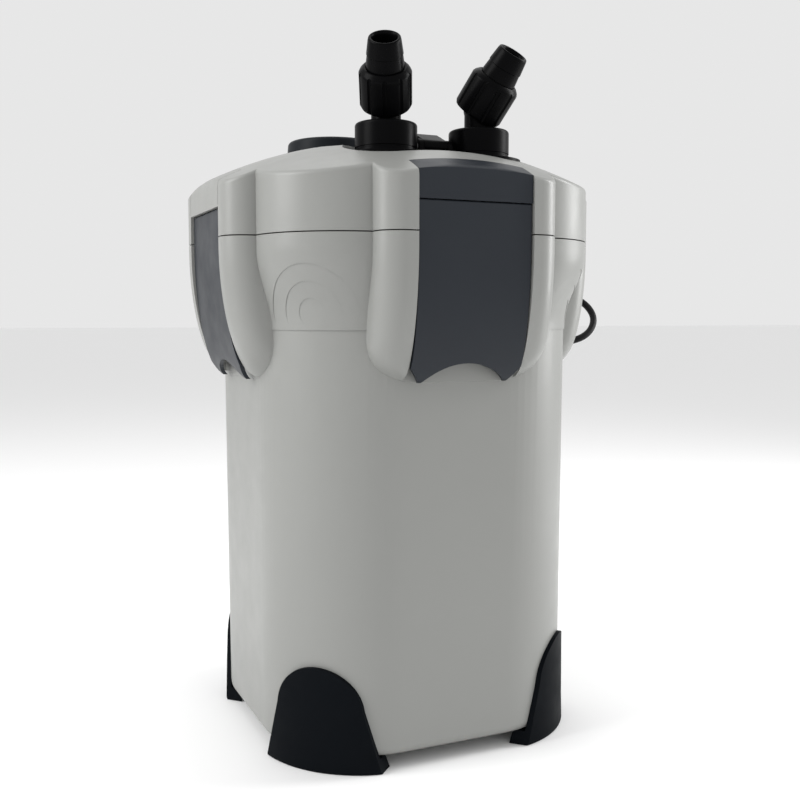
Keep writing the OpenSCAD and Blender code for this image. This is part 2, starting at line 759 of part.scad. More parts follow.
module impeller() {
    color("white") translate([pump_x, pump_y, deck_z - 9.5]) difference() {
        union() {
            cylinder(r = 6, h = 12.5);
            translate([0, 0, 7]) cylinder(r = 11, h = 2);
            for (i = [0 : 5]) rotate([0, 0, 60 * i]) translate([4, -1, 0]) cube([impeller_r - 4.5, 2, 8]);
        }
        translate([0, 0, -1]) cylinder(r = shaft_r + run_gap, h = 15);
    }
}

module pump_shaft() {
    color("ivory") translate([pump_x, pump_y, cover_z + 1]) cylinder(r = shaft_r, h = well_top_z - cover_z - 2);
}

module shaft_bushes() {
    color("black") translate([pump_x, pump_y, 0]) {
        difference() {
            translate([0, 0, well_top_z - 5]) cylinder(r = 4, h = 5);
            translate([0, 0, well_top_z - 6]) cylinder(r = shaft_r, h = 5);
        }
        difference() {
            translate([0, 0, cover_z]) cylinder(r = 3, h = 6);
            translate([0, 0, cover_z + 1]) cylinder(r = shaft_r, h = 6);
        }
    }
}

// Cup under the impeller with a channel to the outlet duct
module impeller_cover() {
    color("whitesmoke") difference() {
        union() {
            translate([pump_x, pump_y, cover_z]) cylinder(r = cover_r, h = deck_z - cover_z);
            slab([tap_x - 10, tap_y - 12, cover_z], [tap_x + 10, pump_y, deck_z]);
        }
        translate([pump_x, pump_y, cover_z + 2.5]) cylinder(r = cover_r - 2.5, h = 20);
        slab([tap_x - 8, tap_y - 10, cover_z + 2.5], [tap_x + 8, pump_y, deck_z + 1]);
        difference() {
            translate([pump_x, pump_y, cover_z - 1]) cylinder(r = 10, h = 6);
            translate([pump_x, pump_y, cover_z - 1]) cylinder(r = 4.5, h = 6);
            for (a = [0, 90]) translate([pump_x, pump_y, cover_z]) rotate([0, 0, a])
                translate([-11, -1.25, -1]) cube([22, 2.5, 6]);
        }
        translate([pump_x, pump_y, cover_z - 1]) cylinder(r = 3, h = 10);
    }
}

module standpipe() {
    color("whitesmoke") translate([-tap_x, tap_y, floor_z + 4]) difference() {
        cylinder(r = pipe_r, h = deck_z - floor_z - 4);
        translate([0, 0, -1]) cylinder(r = pipe_r - pipe_wall, h = deck_z);
    }
}

// ---------------------------------------------------------------- filter beds

// Slots in the floor of a basket or grid
module floor_slots(z0, z1) {
    for (x = [-84 : 14 : 84]) {
        slab([x - 3, 12, z0], [x + 3, basket_half - 26, z1]);
        if (abs(x) > 0) slab([x - 3, -44, z0], [x + 3, 4, z1]);
    }
}

module base_grid() {
    color("gray") difference() {
        prism(basket_half, basket_corner_r, floor_z, floor_z + grid_h);
        prism(basket_half - 4, basket_corner_r - 4, floor_z - 1, floor_z + grid_h - 3);
        floor_slots(floor_z, floor_z + grid_h + 1);
        translate([-tap_x, tap_y, floor_z - 1]) cylinder(r = tunnel_r, h = grid_h + 2);
        for (a = [0 : 90 : 270]) rotate([0, 0, a])
            slab([-30, -(basket_half + 1), floor_z - 1], [30, -(basket_half - 8), floor_z + grid_h - 5]);
    }
}

module basket(i) {
    z0 = basket_z + i * basket_h;
    color("gray") difference() {
        prism(basket_half, basket_corner_r, z0, z0 + basket_h);
        difference() {
            prism(basket_half - basket_wall, basket_corner_r - basket_wall,
                  z0 + basket_wall, z0 + basket_h + 1);
            translate([-tap_x, tap_y, z0]) cylinder(r = tunnel_r + 2, h = basket_h);
        }
        floor_slots(z0 - 1, z0 + basket_wall + 1);
        translate([-tap_x, tap_y, z0 - 1]) cylinder(r = tunnel_r, h = basket_h + 2);
    }
}

module basket_lower() { basket(0); }
module basket_middle() { basket(1); }
module basket_upper() { basket(2); }

// Pad that fills a basket up to a share of its height
module pad(i, share) {
    z0 = basket_z + i * basket_h + basket_wall;
    difference() {
        prism(basket_half - basket_wall - 1, basket_corner_r - basket_wall - 1, z0, z0 + basket_h * share);
        translate([-tap_x, tap_y, z0 - 1]) cylinder(r = tunnel_r + 2.6, h = basket_h);
    }
}

module coarse_foam() { color("steelblue") pad(0, 0.85); }
module fine_floss() { color("white") pad(2, 0.4); }

module ceramic_rings() {
    z0 = basket_z + basket_h + basket_wall;
    pitch = 30;
    color("antiquewhite") for (i = [-2 : 2], j = [-2 : 2])
        if (norm([i * pitch + tap_x, j * pitch - tap_y]) > tunnel_r + 18)
            translate([i * pitch, j * pitch, z0]) difference() {
                cylinder(r = 13, h = 24, $fn = 32);
                translate([0, 0, -1]) cylinder(r = 7, h = 26, $fn = 32);
            }
}

// ---------------------------------------------------------------- mains lead

// Tapered sleeve where the lead leaves the head
module strain_relief() {
    color("black") at_gland() difference() {
        rotate_extrude() polygon([[0, -9], [5, -9], [5, 5], [7.5, 6], [7.5, 8], [cord_r + 1.2, gland_l],
                                  [0, gland_l]]);
        translate([0, 0, -10]) cylinder(r = cord_r, h = 20);
    }
}

module cord_tube() {
    color("black") sweep(smooth_line(route, 2), cord_r, 8);
}

module cord_coil() {
    half_w = coil_columns * cord_r;
    height = coil_layers * cord_d;
    color("black") translate([coil_at.x, coil_at.y, 0]) rotate_extrude($fn = 96)
        translate([coil_r - half_w, 0]) union() {
            translate([0, cord_r]) square([2 * half_w, height - cord_d]);
            translate([cord_r, 0]) square([2 * half_w - cord_d, height]);
            for (x = [cord_r, 2 * half_w - cord_r], y = [cord_r, height - cord_r])
                translate([x, y]) circle(cord_r);
        }
}

module cord_tail() {
    color("black") sweep(smooth_line(tail, 2), cord_r, 8);
}

// Flat two-pole plug that lies on the floor
module cord_plug() {
    color("black") translate(plug_at) rotate([0, 0, 8]) union() {
        rotate([0, 90, 0]) cylinder(r = 5, h = 16);
        translate([-30, -9, -7]) cube([32, 18, 14]);
    }
}

module plug_pins() {
    color("silver") translate(plug_at) rotate([0, 0, 8]) for (y = [-1, 1])
        translate([-49, y * 5.5, 0]) rotate([0, 90, 0]) cylinder(r = 2, h = 19);
}

bucket();
head_shell();
front_trim();
back_trim();
latch_front();
latch_back();
latch_left();
latch_right();
latch_pins();
foot_front_left();
foot_front_right();
foot_back_left();
foot_back_right();
tap_plate();
inlet_collar();
outlet_collar();
tap_lever();
lever_pin();
inlet_elbow();
outlet_elbow();
inlet_oring();
outlet_oring();
inlet_nut();
outlet_nut();
priming_button();
primer_spring();
main_seal();
pump_deck();
motor_block();
rotor_magnet();
impeller();
pump_shaft();
shaft_bushes();
impeller_cover();
head_screws();
standpipe();
base_grid();
basket_lower();
basket_middle();
basket_upper();
coarse_foam();
ceramic_rings();
fine_floss();
strain_relief();
cord_tube();
cord_coil();
cord_tail();
cord_plug();
plug_pins();
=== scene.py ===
"""Canister filter: the looks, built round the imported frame.

Every length is in metres. Places come from the frame's boxes; what a class needs beyond
them is a field of that class. The front of the filter faces -Y.
"""

import logging
import math
from dataclasses import dataclass, field
from enum import Enum
from typing import Callable, Iterable, Sequence

import bmesh
import bpy
from mathutils import Matrix, Vector

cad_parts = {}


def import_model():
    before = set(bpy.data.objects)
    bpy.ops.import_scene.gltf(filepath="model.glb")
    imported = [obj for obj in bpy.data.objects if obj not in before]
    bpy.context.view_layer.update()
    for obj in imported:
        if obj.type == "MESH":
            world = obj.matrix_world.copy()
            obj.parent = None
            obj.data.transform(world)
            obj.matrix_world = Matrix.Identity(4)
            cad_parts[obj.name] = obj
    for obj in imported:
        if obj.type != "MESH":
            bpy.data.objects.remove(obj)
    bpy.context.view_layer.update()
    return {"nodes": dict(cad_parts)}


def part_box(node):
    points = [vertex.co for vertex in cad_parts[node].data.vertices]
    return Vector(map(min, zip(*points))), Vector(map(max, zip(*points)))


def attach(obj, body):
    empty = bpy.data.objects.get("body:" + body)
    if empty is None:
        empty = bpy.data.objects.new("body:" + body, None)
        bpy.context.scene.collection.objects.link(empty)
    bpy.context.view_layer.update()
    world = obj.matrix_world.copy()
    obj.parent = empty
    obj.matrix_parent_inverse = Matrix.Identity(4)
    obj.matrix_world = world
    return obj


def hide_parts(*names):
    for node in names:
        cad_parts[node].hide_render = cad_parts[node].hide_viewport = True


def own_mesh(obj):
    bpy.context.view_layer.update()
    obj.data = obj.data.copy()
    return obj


log = logging.getLogger("canister_filter")

MM = 0.001
OVERSHOOT = 5 * MM
Point = tuple[float, float]


class Cut(Enum):
    """What a boolean does with its tool."""

    AWAY = "DIFFERENCE"
    KEEP = "INTERSECT"
    JOIN = "UNION"


class Side(Enum):
    """The two hose connectors: the inlet on the left, the outlet on the right."""

    INLET = -1
    OUTLET = 1


# ------------------------------------------------------------------ finishes


@dataclass(frozen=True)
class Finish:
    """A moulded or turned surface: colour with slight drift, fine grain and uneven gloss."""

    name: str
    slot: str
    colour: tuple[float, float, float]
    roughness: float = 0.45
    drift: float = 0.06
    grain: float = 900.0
    bump: float = 0.06
    metallic: float = 0.0
    coat: float = 0.0
    specular: float = 0.5
    dust: float = 0.0
    made: dict = field(default_factory=dict, compare=False, hash=False)

    def material(self) -> bpy.types.Material:
        """Build the node material once and hand it out again after that."""
        if "material" not in self.made:
            self.made["material"] = self._build()
        return self.made["material"]

    def _build(self) -> bpy.types.Material:
        """Lay out the nodes: two noises drive colour and gloss, a third the grain.

        Returns:
            The new material.
        """
        mat = bpy.data.materials.new(self.name)
        mat.use_nodes = True
        nodes, links = mat.node_tree.nodes, mat.node_tree.links
        shader = nodes["Principled BSDF"]
        shader.inputs["Metallic"].default_value = self.metallic
        shader.inputs["Coat Weight"].default_value = self.coat
        shader.inputs["Coat Roughness"].default_value = 0.12
        shader.inputs["Specular IOR Level"].default_value = self.specular
        place = nodes.new("ShaderNodeTexCoord")

        cloud = self._noise(nodes, links, place, 14.0, 3.0)
        tint = nodes.new("ShaderNodeMix")
        tint.data_type = "RGBA"
        tint.inputs["A"].default_value = self._shade(1.0 - self.drift)
        tint.inputs["B"].default_value = self._shade(1.0 + self.drift)
        links.new(cloud.outputs["Fac"], tint.inputs["Factor"])

        speck = self._noise(nodes, links, place, 260.0, 2.0)
        dusty = nodes.new("ShaderNodeMix")
        dusty.data_type = "RGBA"
        dusty.inputs["B"].default_value = (0.62, 0.61, 0.58, 1.0)
        rare = nodes.new("ShaderNodeMapRange")
        rare.inputs["From Min"].default_value = 0.62
        rare.inputs["From Max"].default_value = 0.80
        rare.inputs["To Max"].default_value = self.dust
        links.new(speck.outputs["Fac"], rare.inputs["Value"])
        links.new(rare.outputs["Result"], dusty.inputs["Factor"])
        links.new(tint.outputs["Result"], dusty.inputs["A"])
        links.new(dusty.outputs["Result"], shader.inputs["Base Color"])

        wear = self._noise(nodes, links, place, 55.0, 4.0)
        gloss = nodes.new("ShaderNodeMapRange")
        gloss.inputs["From Min"].default_value = 0.3
        gloss.inputs["From Max"].default_value = 0.7
        gloss.inputs["To Min"].default_value = self.roughness * 0.88
        gloss.inputs["To Max"].default_value = min(1.0, self.roughness * 1.12)
        links.new(wear.outputs["Fac"], gloss.inputs["Value"])
        links.new(gloss.outputs["Result"], shader.inputs["Roughness"])

        fine = self._noise(nodes, links, place, self.grain, 2.0)
        bump = nodes.new("ShaderNodeBump")
        bump.inputs["Strength"].default_value = self.bump
        bump.inputs["Distance"].default_value = 0.0004
        links.new(fine.outputs["Fac"], bump.inputs["Height"])
        links.new(bump.outputs["Normal"], shader.inputs["Normal"])
        return mat

    def _shade(self, factor: float) -> tuple[float, float, float, float]:
        """The colour, lighter or darker by a factor."""
        red, green, blue = (min(1.0, c * factor) for c in self.colour)
        return (red, green, blue, 1.0)

    @staticmethod
    def _noise(nodes, links, place, scale: float, detail: float) -> bpy.types.Node:
        """A noise on Object coordinates.

        Args:
            nodes: The tree's nodes.
            links: The tree's links.
            place: The Texture Coordinate node.
            scale: Cells per metre.
            detail: Octaves.

        Returns:
            The noise node.
        """
        noise = nodes.new("ShaderNodeTexNoise")
        noise.inputs["Scale"].default_value = scale
        noise.inputs["Detail"].default_value = detail
        links.new(place.outputs["Object"], noise.inputs["Vector"])
        return noise


SHELL = Finish("shell_grey", "shell", (0.262, 0.265, 0.253), 0.38, 0.02, 1400.0, 0.05)
LATCH = Finish("latch_blue_grey", "latch", (0.015, 0.0185, 0.0245), 0.40, 0.08, 1300.0, 0.08,
               specular=0.26)
BUTTON = Finish("button_blue_grey", "button", (0.008, 0.010, 0.0125), 0.45, 0.08, 1300.0, 0.08,
                specular=0.10)
FOOT = Finish("foot_rubber", "foot", (0.0030, 0.0040, 0.0055), 0.55, 0.12, 700.0, 0.10,
              specular=0.04)
GLOSS = Finish("tap_black", "tap", (0.0016, 0.0016, 0.0019), 0.32, 0.10, 900.0, 0.03,
               specular=0.045)
CABLE = Finish("cable_sheath", "cable", (0.003, 0.003, 0.0035), 0.48, 0.12, 900.0, 0.08,
               specular=0.16)
PLUG = Finish("plug_black", "plug", (0.010, 0.010, 0.011), 0.45, 0.10, 800.0, 0.08)
STEEL = Finish("pin_steel", "steel", (0.55, 0.55, 0.56), 0.28, 0.05, 600.0, 0.05, metallic=1.0)
SEAL = Finish("seal_rubber", "seal", (0.012, 0.012, 0.012), 0.65, 0.12, 500.0, 0.10)
NATURAL = Finish("natural_plastic", "white_plastic", (0.72, 0.72, 0.69), 0.40, 0.03, 900.0, 0.06)
MOTOR = Finish("potting_resin", "motor", (0.020, 0.026, 0.055), 0.35, 0.15, 300.0, 0.12)
MAGNET = Finish("bonded_magnet", "magnet", (0.035, 0.035, 0.036), 0.55, 0.15, 800.0, 0.15)
CERAMIC = Finish("fired_ceramic", "ceramic", (0.70, 0.62, 0.50), 0.75, 0.10, 450.0, 0.45)
BASKET = Finish("basket_grey", "basket", (0.070, 0.072, 0.075), 0.50, 0.06, 900.0, 0.08)
FOAM = Finish("open_foam", "foam", (0.030, 0.085, 0.23), 0.95, 0.25, 320.0, 1.0)
FLOSS = Finish("wadding", "floss", (0.80, 0.80, 0.79), 0.95, 0.05, 500.0, 0.9)

INNER_FINISHES: dict[str, Finish] = {
    "latch_pins": STEEL, "lever_pin": STEEL, "head_screws": STEEL,
    "plug_pins": STEEL, "inlet_oring": SEAL, "outlet_oring": SEAL, "main_seal": SEAL,
    "shaft_bushes": SEAL, "pump_deck": NATURAL, "impeller_cover": NATURAL, "standpipe": NATURAL,
    "impeller": NATURAL, "motor_block": MOTOR, "rotor_magnet": MAGNET, "pump_shaft": CERAMIC,
    "ceramic_rings": CERAMIC, "base_grid": BASKET, "basket_lower": BASKET,
    "basket_middle": BASKET, "basket_upper": BASKET, "coarse_foam": FOAM, "fine_floss": FLOSS,
}


# ------------------------------------------------------------------ modelling helpers


def arc(centre: Point, radius: float, start: float, end: float, steps: int) -> list[Point]:
    """Points along an arc, both ends included.

    Args:
        centre: Its centre.
        radius: Its radius.
        start: First angle in degrees.
        end: Last angle in degrees.
        steps: Number of stretches.

    Returns:
        The points.
    """
    angles = [math.radians(start + (end - start) * i / steps) for i in range(steps + 1)]
    return [(centre[0] + radius * math.cos(a), centre[1] + radius * math.sin(a)) for a in angles]


def line(a: Point, b: Point, steps: int) -> list[Point]:
    """Points between a and b, both left out."""
    shares = [i / steps for i in range(1, steps)]
    return [(a[0] + (b[0] - a[0]) * s, a[1] + (b[1] - a[1]) * s) for s in shares]


def turned(points: Iterable[Point], quarter: int) -> list[Point]:
    """Points turned about the upright axis by quarter turns."""
    out = list(points)
    for _ in range(quarter % 4):
        out = [(-y, x) for x, y in out]
    return out


def rounded_square(half: float, radius: float, steps: int = 14) -> list[Point]:
    """Outline of a square with rounded corners, the flats divided too."""
    inner = half - radius
    points: list[Point] = []
    for quarter in range(4):
        start = (-inner, -half)
        flat = [start, *line(start, (inner, -half), 6)]
        corner = arc((inner, -inner), radius, -90, 0, steps)[:-1]
        points += turned([*flat, *corner], quarter)
    return points


def loft(rings: Sequence[Sequence[Vector]]) -> bmesh.types.BMesh:
    """A closed solid through rings of equal count, by extruding one face along them.

    Args:
        rings: Rings of points, in order.

    Returns:
        The solid, with its normals facing out.
    """
    bm = bmesh.new()
    face = bm.faces.new([bm.verts.new(p) for p in rings[0]])
    for number, ring in enumerate(rings[1:]):
        made = bmesh.ops.extrude_face_region(bm, geom=[face])
        if number:
            bmesh.ops.delete(bm, geom=[face], context="FACES_ONLY")
        face = next(g for g in made["geom"] if isinstance(g, bmesh.types.BMFace))
        for vert, place in zip(face.verts, ring, strict=True):
            vert.co = place
    bmesh.ops.recalc_face_normals(bm, faces=bm.faces)
    return bm


def prism(outline: Sequence[Point], low: float, high: float) -> bmesh.types.BMesh:
    """An upright prism over an outline."""
    return loft([[Vector((x, y, z)) for x, y in outline] for z in (low, high)])


def slab(low: Sequence[float], high: Sequence[float]) -> bmesh.types.BMesh:
    """A box from its lowest to its highest corner."""
    bm = bmesh.new()
    middle = (Vector(low) + Vector(high)) / 2
    span = Vector(high) - Vector(low)
    bmesh.ops.create_cube(bm, size=1, matrix=Matrix.Translation(middle) @ Matrix.Diagonal((*span, 1)))
    return bm


def rod(radius: float, length: float, place: Matrix, segments: int = 48) -> bmesh.types.BMesh:
    """A cylinder from the place's origin along its +Z."""
    bm = bmesh.new()
    lift = Matrix.Translation((0, 0, length / 2))
    bmesh.ops.create_cone(bm, cap_ends=True, segments=segments, radius1=radius, radius2=radius,
                          depth=length, matrix=place @ lift)
    return bm


def spun(profile: Sequence[Point], place: Matrix, steps: int = 72) -> bmesh.types.BMesh:
    """A turned solid from a profile of (radius, height) points.

    Args:
        profile: The outline; one that doesn't start and end on the axis closes on itself.
        place: Where the axis' origin and direction go.
        steps: Facets round the axis.

    Returns:
        The solid.
    """
    bm = bmesh.new()
    verts = [bm.verts.new((r, 0, z)) for r, z in profile]
    edges = [bm.edges.new(pair) for pair in zip(verts, verts[1:])]
    if profile[0][0] > 0 or profile[-1][0] > 0:
        edges.append(bm.edges.new((verts[-1], verts[0])))
    bmesh.ops.spin(bm, geom=[*verts, *edges], cent=(0, 0, 0), axis=(0, 0, 1),
                   angle=math.tau, steps=steps, use_merge=True)
    bmesh.ops.remove_doubles(bm, verts=bm.verts, dist=1e-7)
    bmesh.ops.recalc_face_normals(bm, faces=bm.faces)
    bmesh.ops.transform(bm, matrix=place, verts=bm.verts)
    return bm


def merged(parts: Iterable[bmesh.types.BMesh]) -> bmesh.types.BMesh:
    """One bmesh that holds several separate ones, which are freed."""
    out = bmesh.new()
    for part in parts:
        mesh = bpy.data.meshes.new("joined")
        part.to_mesh(mesh)
        part.free()
        out.from_mesh(mesh)
        bpy.data.meshes.remove(mesh)
    return out


def as_object(bm: bmesh.types.BMesh, name: str) -> bpy.types.Object:
    """A linked object made from a bmesh, which is freed."""
    mesh = bpy.data.meshes.new(name)
    bm.to_mesh(mesh)
    bm.free()
    obj = bpy.data.objects.new(name, mesh)
    bpy.context.scene.collection.objects.link(obj)
    return obj


def settle(obj: bpy.types.Object) -> None:
    """Replace an object's mesh by what its modifiers make of it, and drop them."""
    seen = obj.evaluated_get(bpy.context.evaluated_depsgraph_get())
    mesh = bpy.data.meshes.new_from_object(seen)
    old = obj.data
    obj.modifiers.clear()
    obj.data = mesh
    bpy.data.meshes.remove(old)


def carve(obj: bpy.types.Object, how: Cut, *tools: bmesh.types.BMesh) -> bpy.types.Object:
    """Cut tools out of an object, join them to it, or keep what they share.

    Args:
        obj: The object, changed in place.
        how: Which boolean.
        tools: Closed solids, used one after another.

    Returns:
        The same object.
    """
    for bm in tools:
        tool = as_object(bm, "tool")
        mod = obj.modifiers.new("carve", "BOOLEAN")
        mod.operation = how.value
        mod.solver = "EXACT"
        mod.object = tool
        settle(obj)
        bpy.data.objects.remove(tool)
    return obj


def tidy_mesh(obj: bpy.types.Object) -> None:
    """Weld near points together and dissolve degenerate slivers after booleans."""
    bm = bmesh.new()
    bm.from_mesh(obj.data)
    bmesh.ops.remove_doubles(bm, verts=bm.verts, dist=0.02 * MM)
    bmesh.ops.dissolve_degenerate(bm, edges=bm.edges, dist=0.01 * MM)
    bm.to_mesh(obj.data)
    bm.free()


def soften(obj: bpy.types.Object, width: float, segments: int = 3, angle: float = 32.0) -> None:
    """Round every edge that turns by more than an angle.

    Args:
        obj: The object.
        width: Width of the rounding.
        segments: Facets across it.
        angle: Smallest turn that is rounded, in degrees.
    """
    mod = obj.modifiers.new("edge_round", "BEVEL")
    mod.width = width
    mod.segments = segments
    mod.limit_method = "ANGLE"
    mod.angle_limit = math.radians(angle)
    mod.use_clamp_overlap = True
    mod.miter_outer = "MITER_ARC"
    settle(obj)


def piece(obj: bpy.types.Object, finish: Finish, body: str, *stands_for: str) -> bpy.types.Object:
    """Dress a finished piece, shade it smoothly and set it riding.

    Args:
        obj: The piece.
        finish: Its surface.
        body: The body that it moves with.
        stands_for: CAD nodes that it replaces.

    Returns:
        The same object.
    """
    obj.data.materials.clear()
    obj.data.materials.append(finish.material())
    obj.data.shade_smooth()
    obj.data.set_sharp_from_angle(angle=math.radians(38))
    weigh = obj.modifiers.new("even_shading", "WEIGHTED_NORMAL")
    weigh.keep_sharp = True
    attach(obj, body)
    if stands_for:
        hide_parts(*stands_for)
    log.info("%s: %d faces on %s", obj.name, len(obj.data.polygons), body)
    return obj


def facing(quarter: int) -> Matrix:
    """Turn from the front face to another face: 1 right, 2 back, 3 left."""
    return Matrix.Rotation(math.radians(90 * quarter), 4, "Z")


def face_box(quarter: int, half: float, near: float, far: float, low: float, high: float):
    """A box on one face: half its width, its nearest and furthest reach, its two levels."""
    bm = slab((-half, -far, low), (half, -near, high))
    bmesh.ops.transform(bm, matrix=facing(quarter), verts=bm.verts)
    return bm


def face_prism(quarter: int, half: float, side_view: Sequence[Point]) -> bmesh.types.BMesh:
    """A solid on one face: half its width, and its outline in reach and level."""
    bm = loft([[Vector((x, -out, z)) for out, z in side_view] for x in (-half, half)])
    bmesh.ops.transform(bm, matrix=facing(quarter), verts=bm.verts)
    return bm


# ------------------------------------------------------------------ shells


@dataclass
class Plan:
    """The sizes in plan that the head and the bucket share."""

    lobe_out: float
    rim_z: float
    foot_z: float
    collar_half: float = 122 * MM
    collar_radius: float = 62 * MM
    body_half: float = 115.5 * MM
    body_radius: float = 76 * MM
    lobe_half: float = 64 * MM
    nose: float = 17 * MM
    gap_half: float = 41 * MM
    belly: float = 30 * MM
    belly_drop: float = 92 * MM
    belly_start: float = 4.2 * MM
    lower_round: float = 28 * MM
    draft: float = 2.0 * MM
    pivot_out: float = 131 * MM
    pivot_rise: float = 11.8 * MM
    relief: float = 11.0 * MM
    lip: float = 8.5 * MM

    def drawn_in(self, z: float) -> float:
        """How far the plain body lies in at a height, being slightly narrower at the foot."""
        return self.draft * min(max((self.rim_z - z) / (self.rim_z - self.foot_z), 0.0), 1.0)

    def under_cap(self, near: float, far: float, end: float) -> list[Point]:
        """Side view from the underside of the cap over a latch to some level.

        Args:
            near: Nearest reach out of the axis.
            far: Furthest reach.
            end: The level that the outline runs to.

        Returns:
            Points of reach and level; the underside is hollowed round the hinge.
        """
        pivot_z = self.rim_z + self.pivot_rise
        lean = math.degrees(math.asin(self.lip / self.relief))
        hollow = arc((self.pivot_out, pivot_z), self.relief, 90, lean, 8)
        lower = [(near, pivot_z + self.relief), *hollow, (far, pivot_z + self.lip)]
        return [*lower, (far, end), (near, end)]

    def belly_in(self, z: float, depth: float) -> float:
        """How far a bellied face lies in at a height, for a belly of some depth."""
        share = (self.rim_z - self.belly_start - z) / self.belly_drop
        share = min(max(share, 0.0), 1.0)
        return depth * (1 - math.sqrt(1 - share * share))

    def block_outline(self, out: float, half: float) -> list[Point]:
        """Plan of one face block that faces -Y, closed inside the body."""
        nose = min(self.nose, half - 1 * MM)
        back = -(self.lobe_out - self.belly - self.nose - 8 * MM)
        left = arc((-(half - nose), -(out - nose)), nose, 180, 270, 8)
        right = arc((half - nose, -(out - nose)), nose, 270, 360, 8)
        flat = line(left[-1], right[0], 10)
        return [(-half, back), *left, *flat, *right, (half, back)]

    def whole_outline(self) -> list[Point]:
        """Plan of the head: the collar square with a block on each face."""
        inner = self.collar_half - self.collar_radius
        reach = math.degrees(math.acos((self.lobe_half - inner) / self.collar_radius))
        points: list[Point] = []
        for quarter in range(4):
            nose_x, nose_y = self.lobe_half - self.nose, -(self.lobe_out - self.nose)
            left = arc((-nose_x, nose_y), self.nose, 180, 270, 8)
            right = arc((nose_x, nose_y), self.nose, 270, 360, 8)
            flat = line(left[-1], right[0], 14)
            corner = arc((inner, -inner), self.collar_radius, -reach, reach - 90, 24)
            points += turned([*left, *flat, *right, *corner], quarter)
        return points


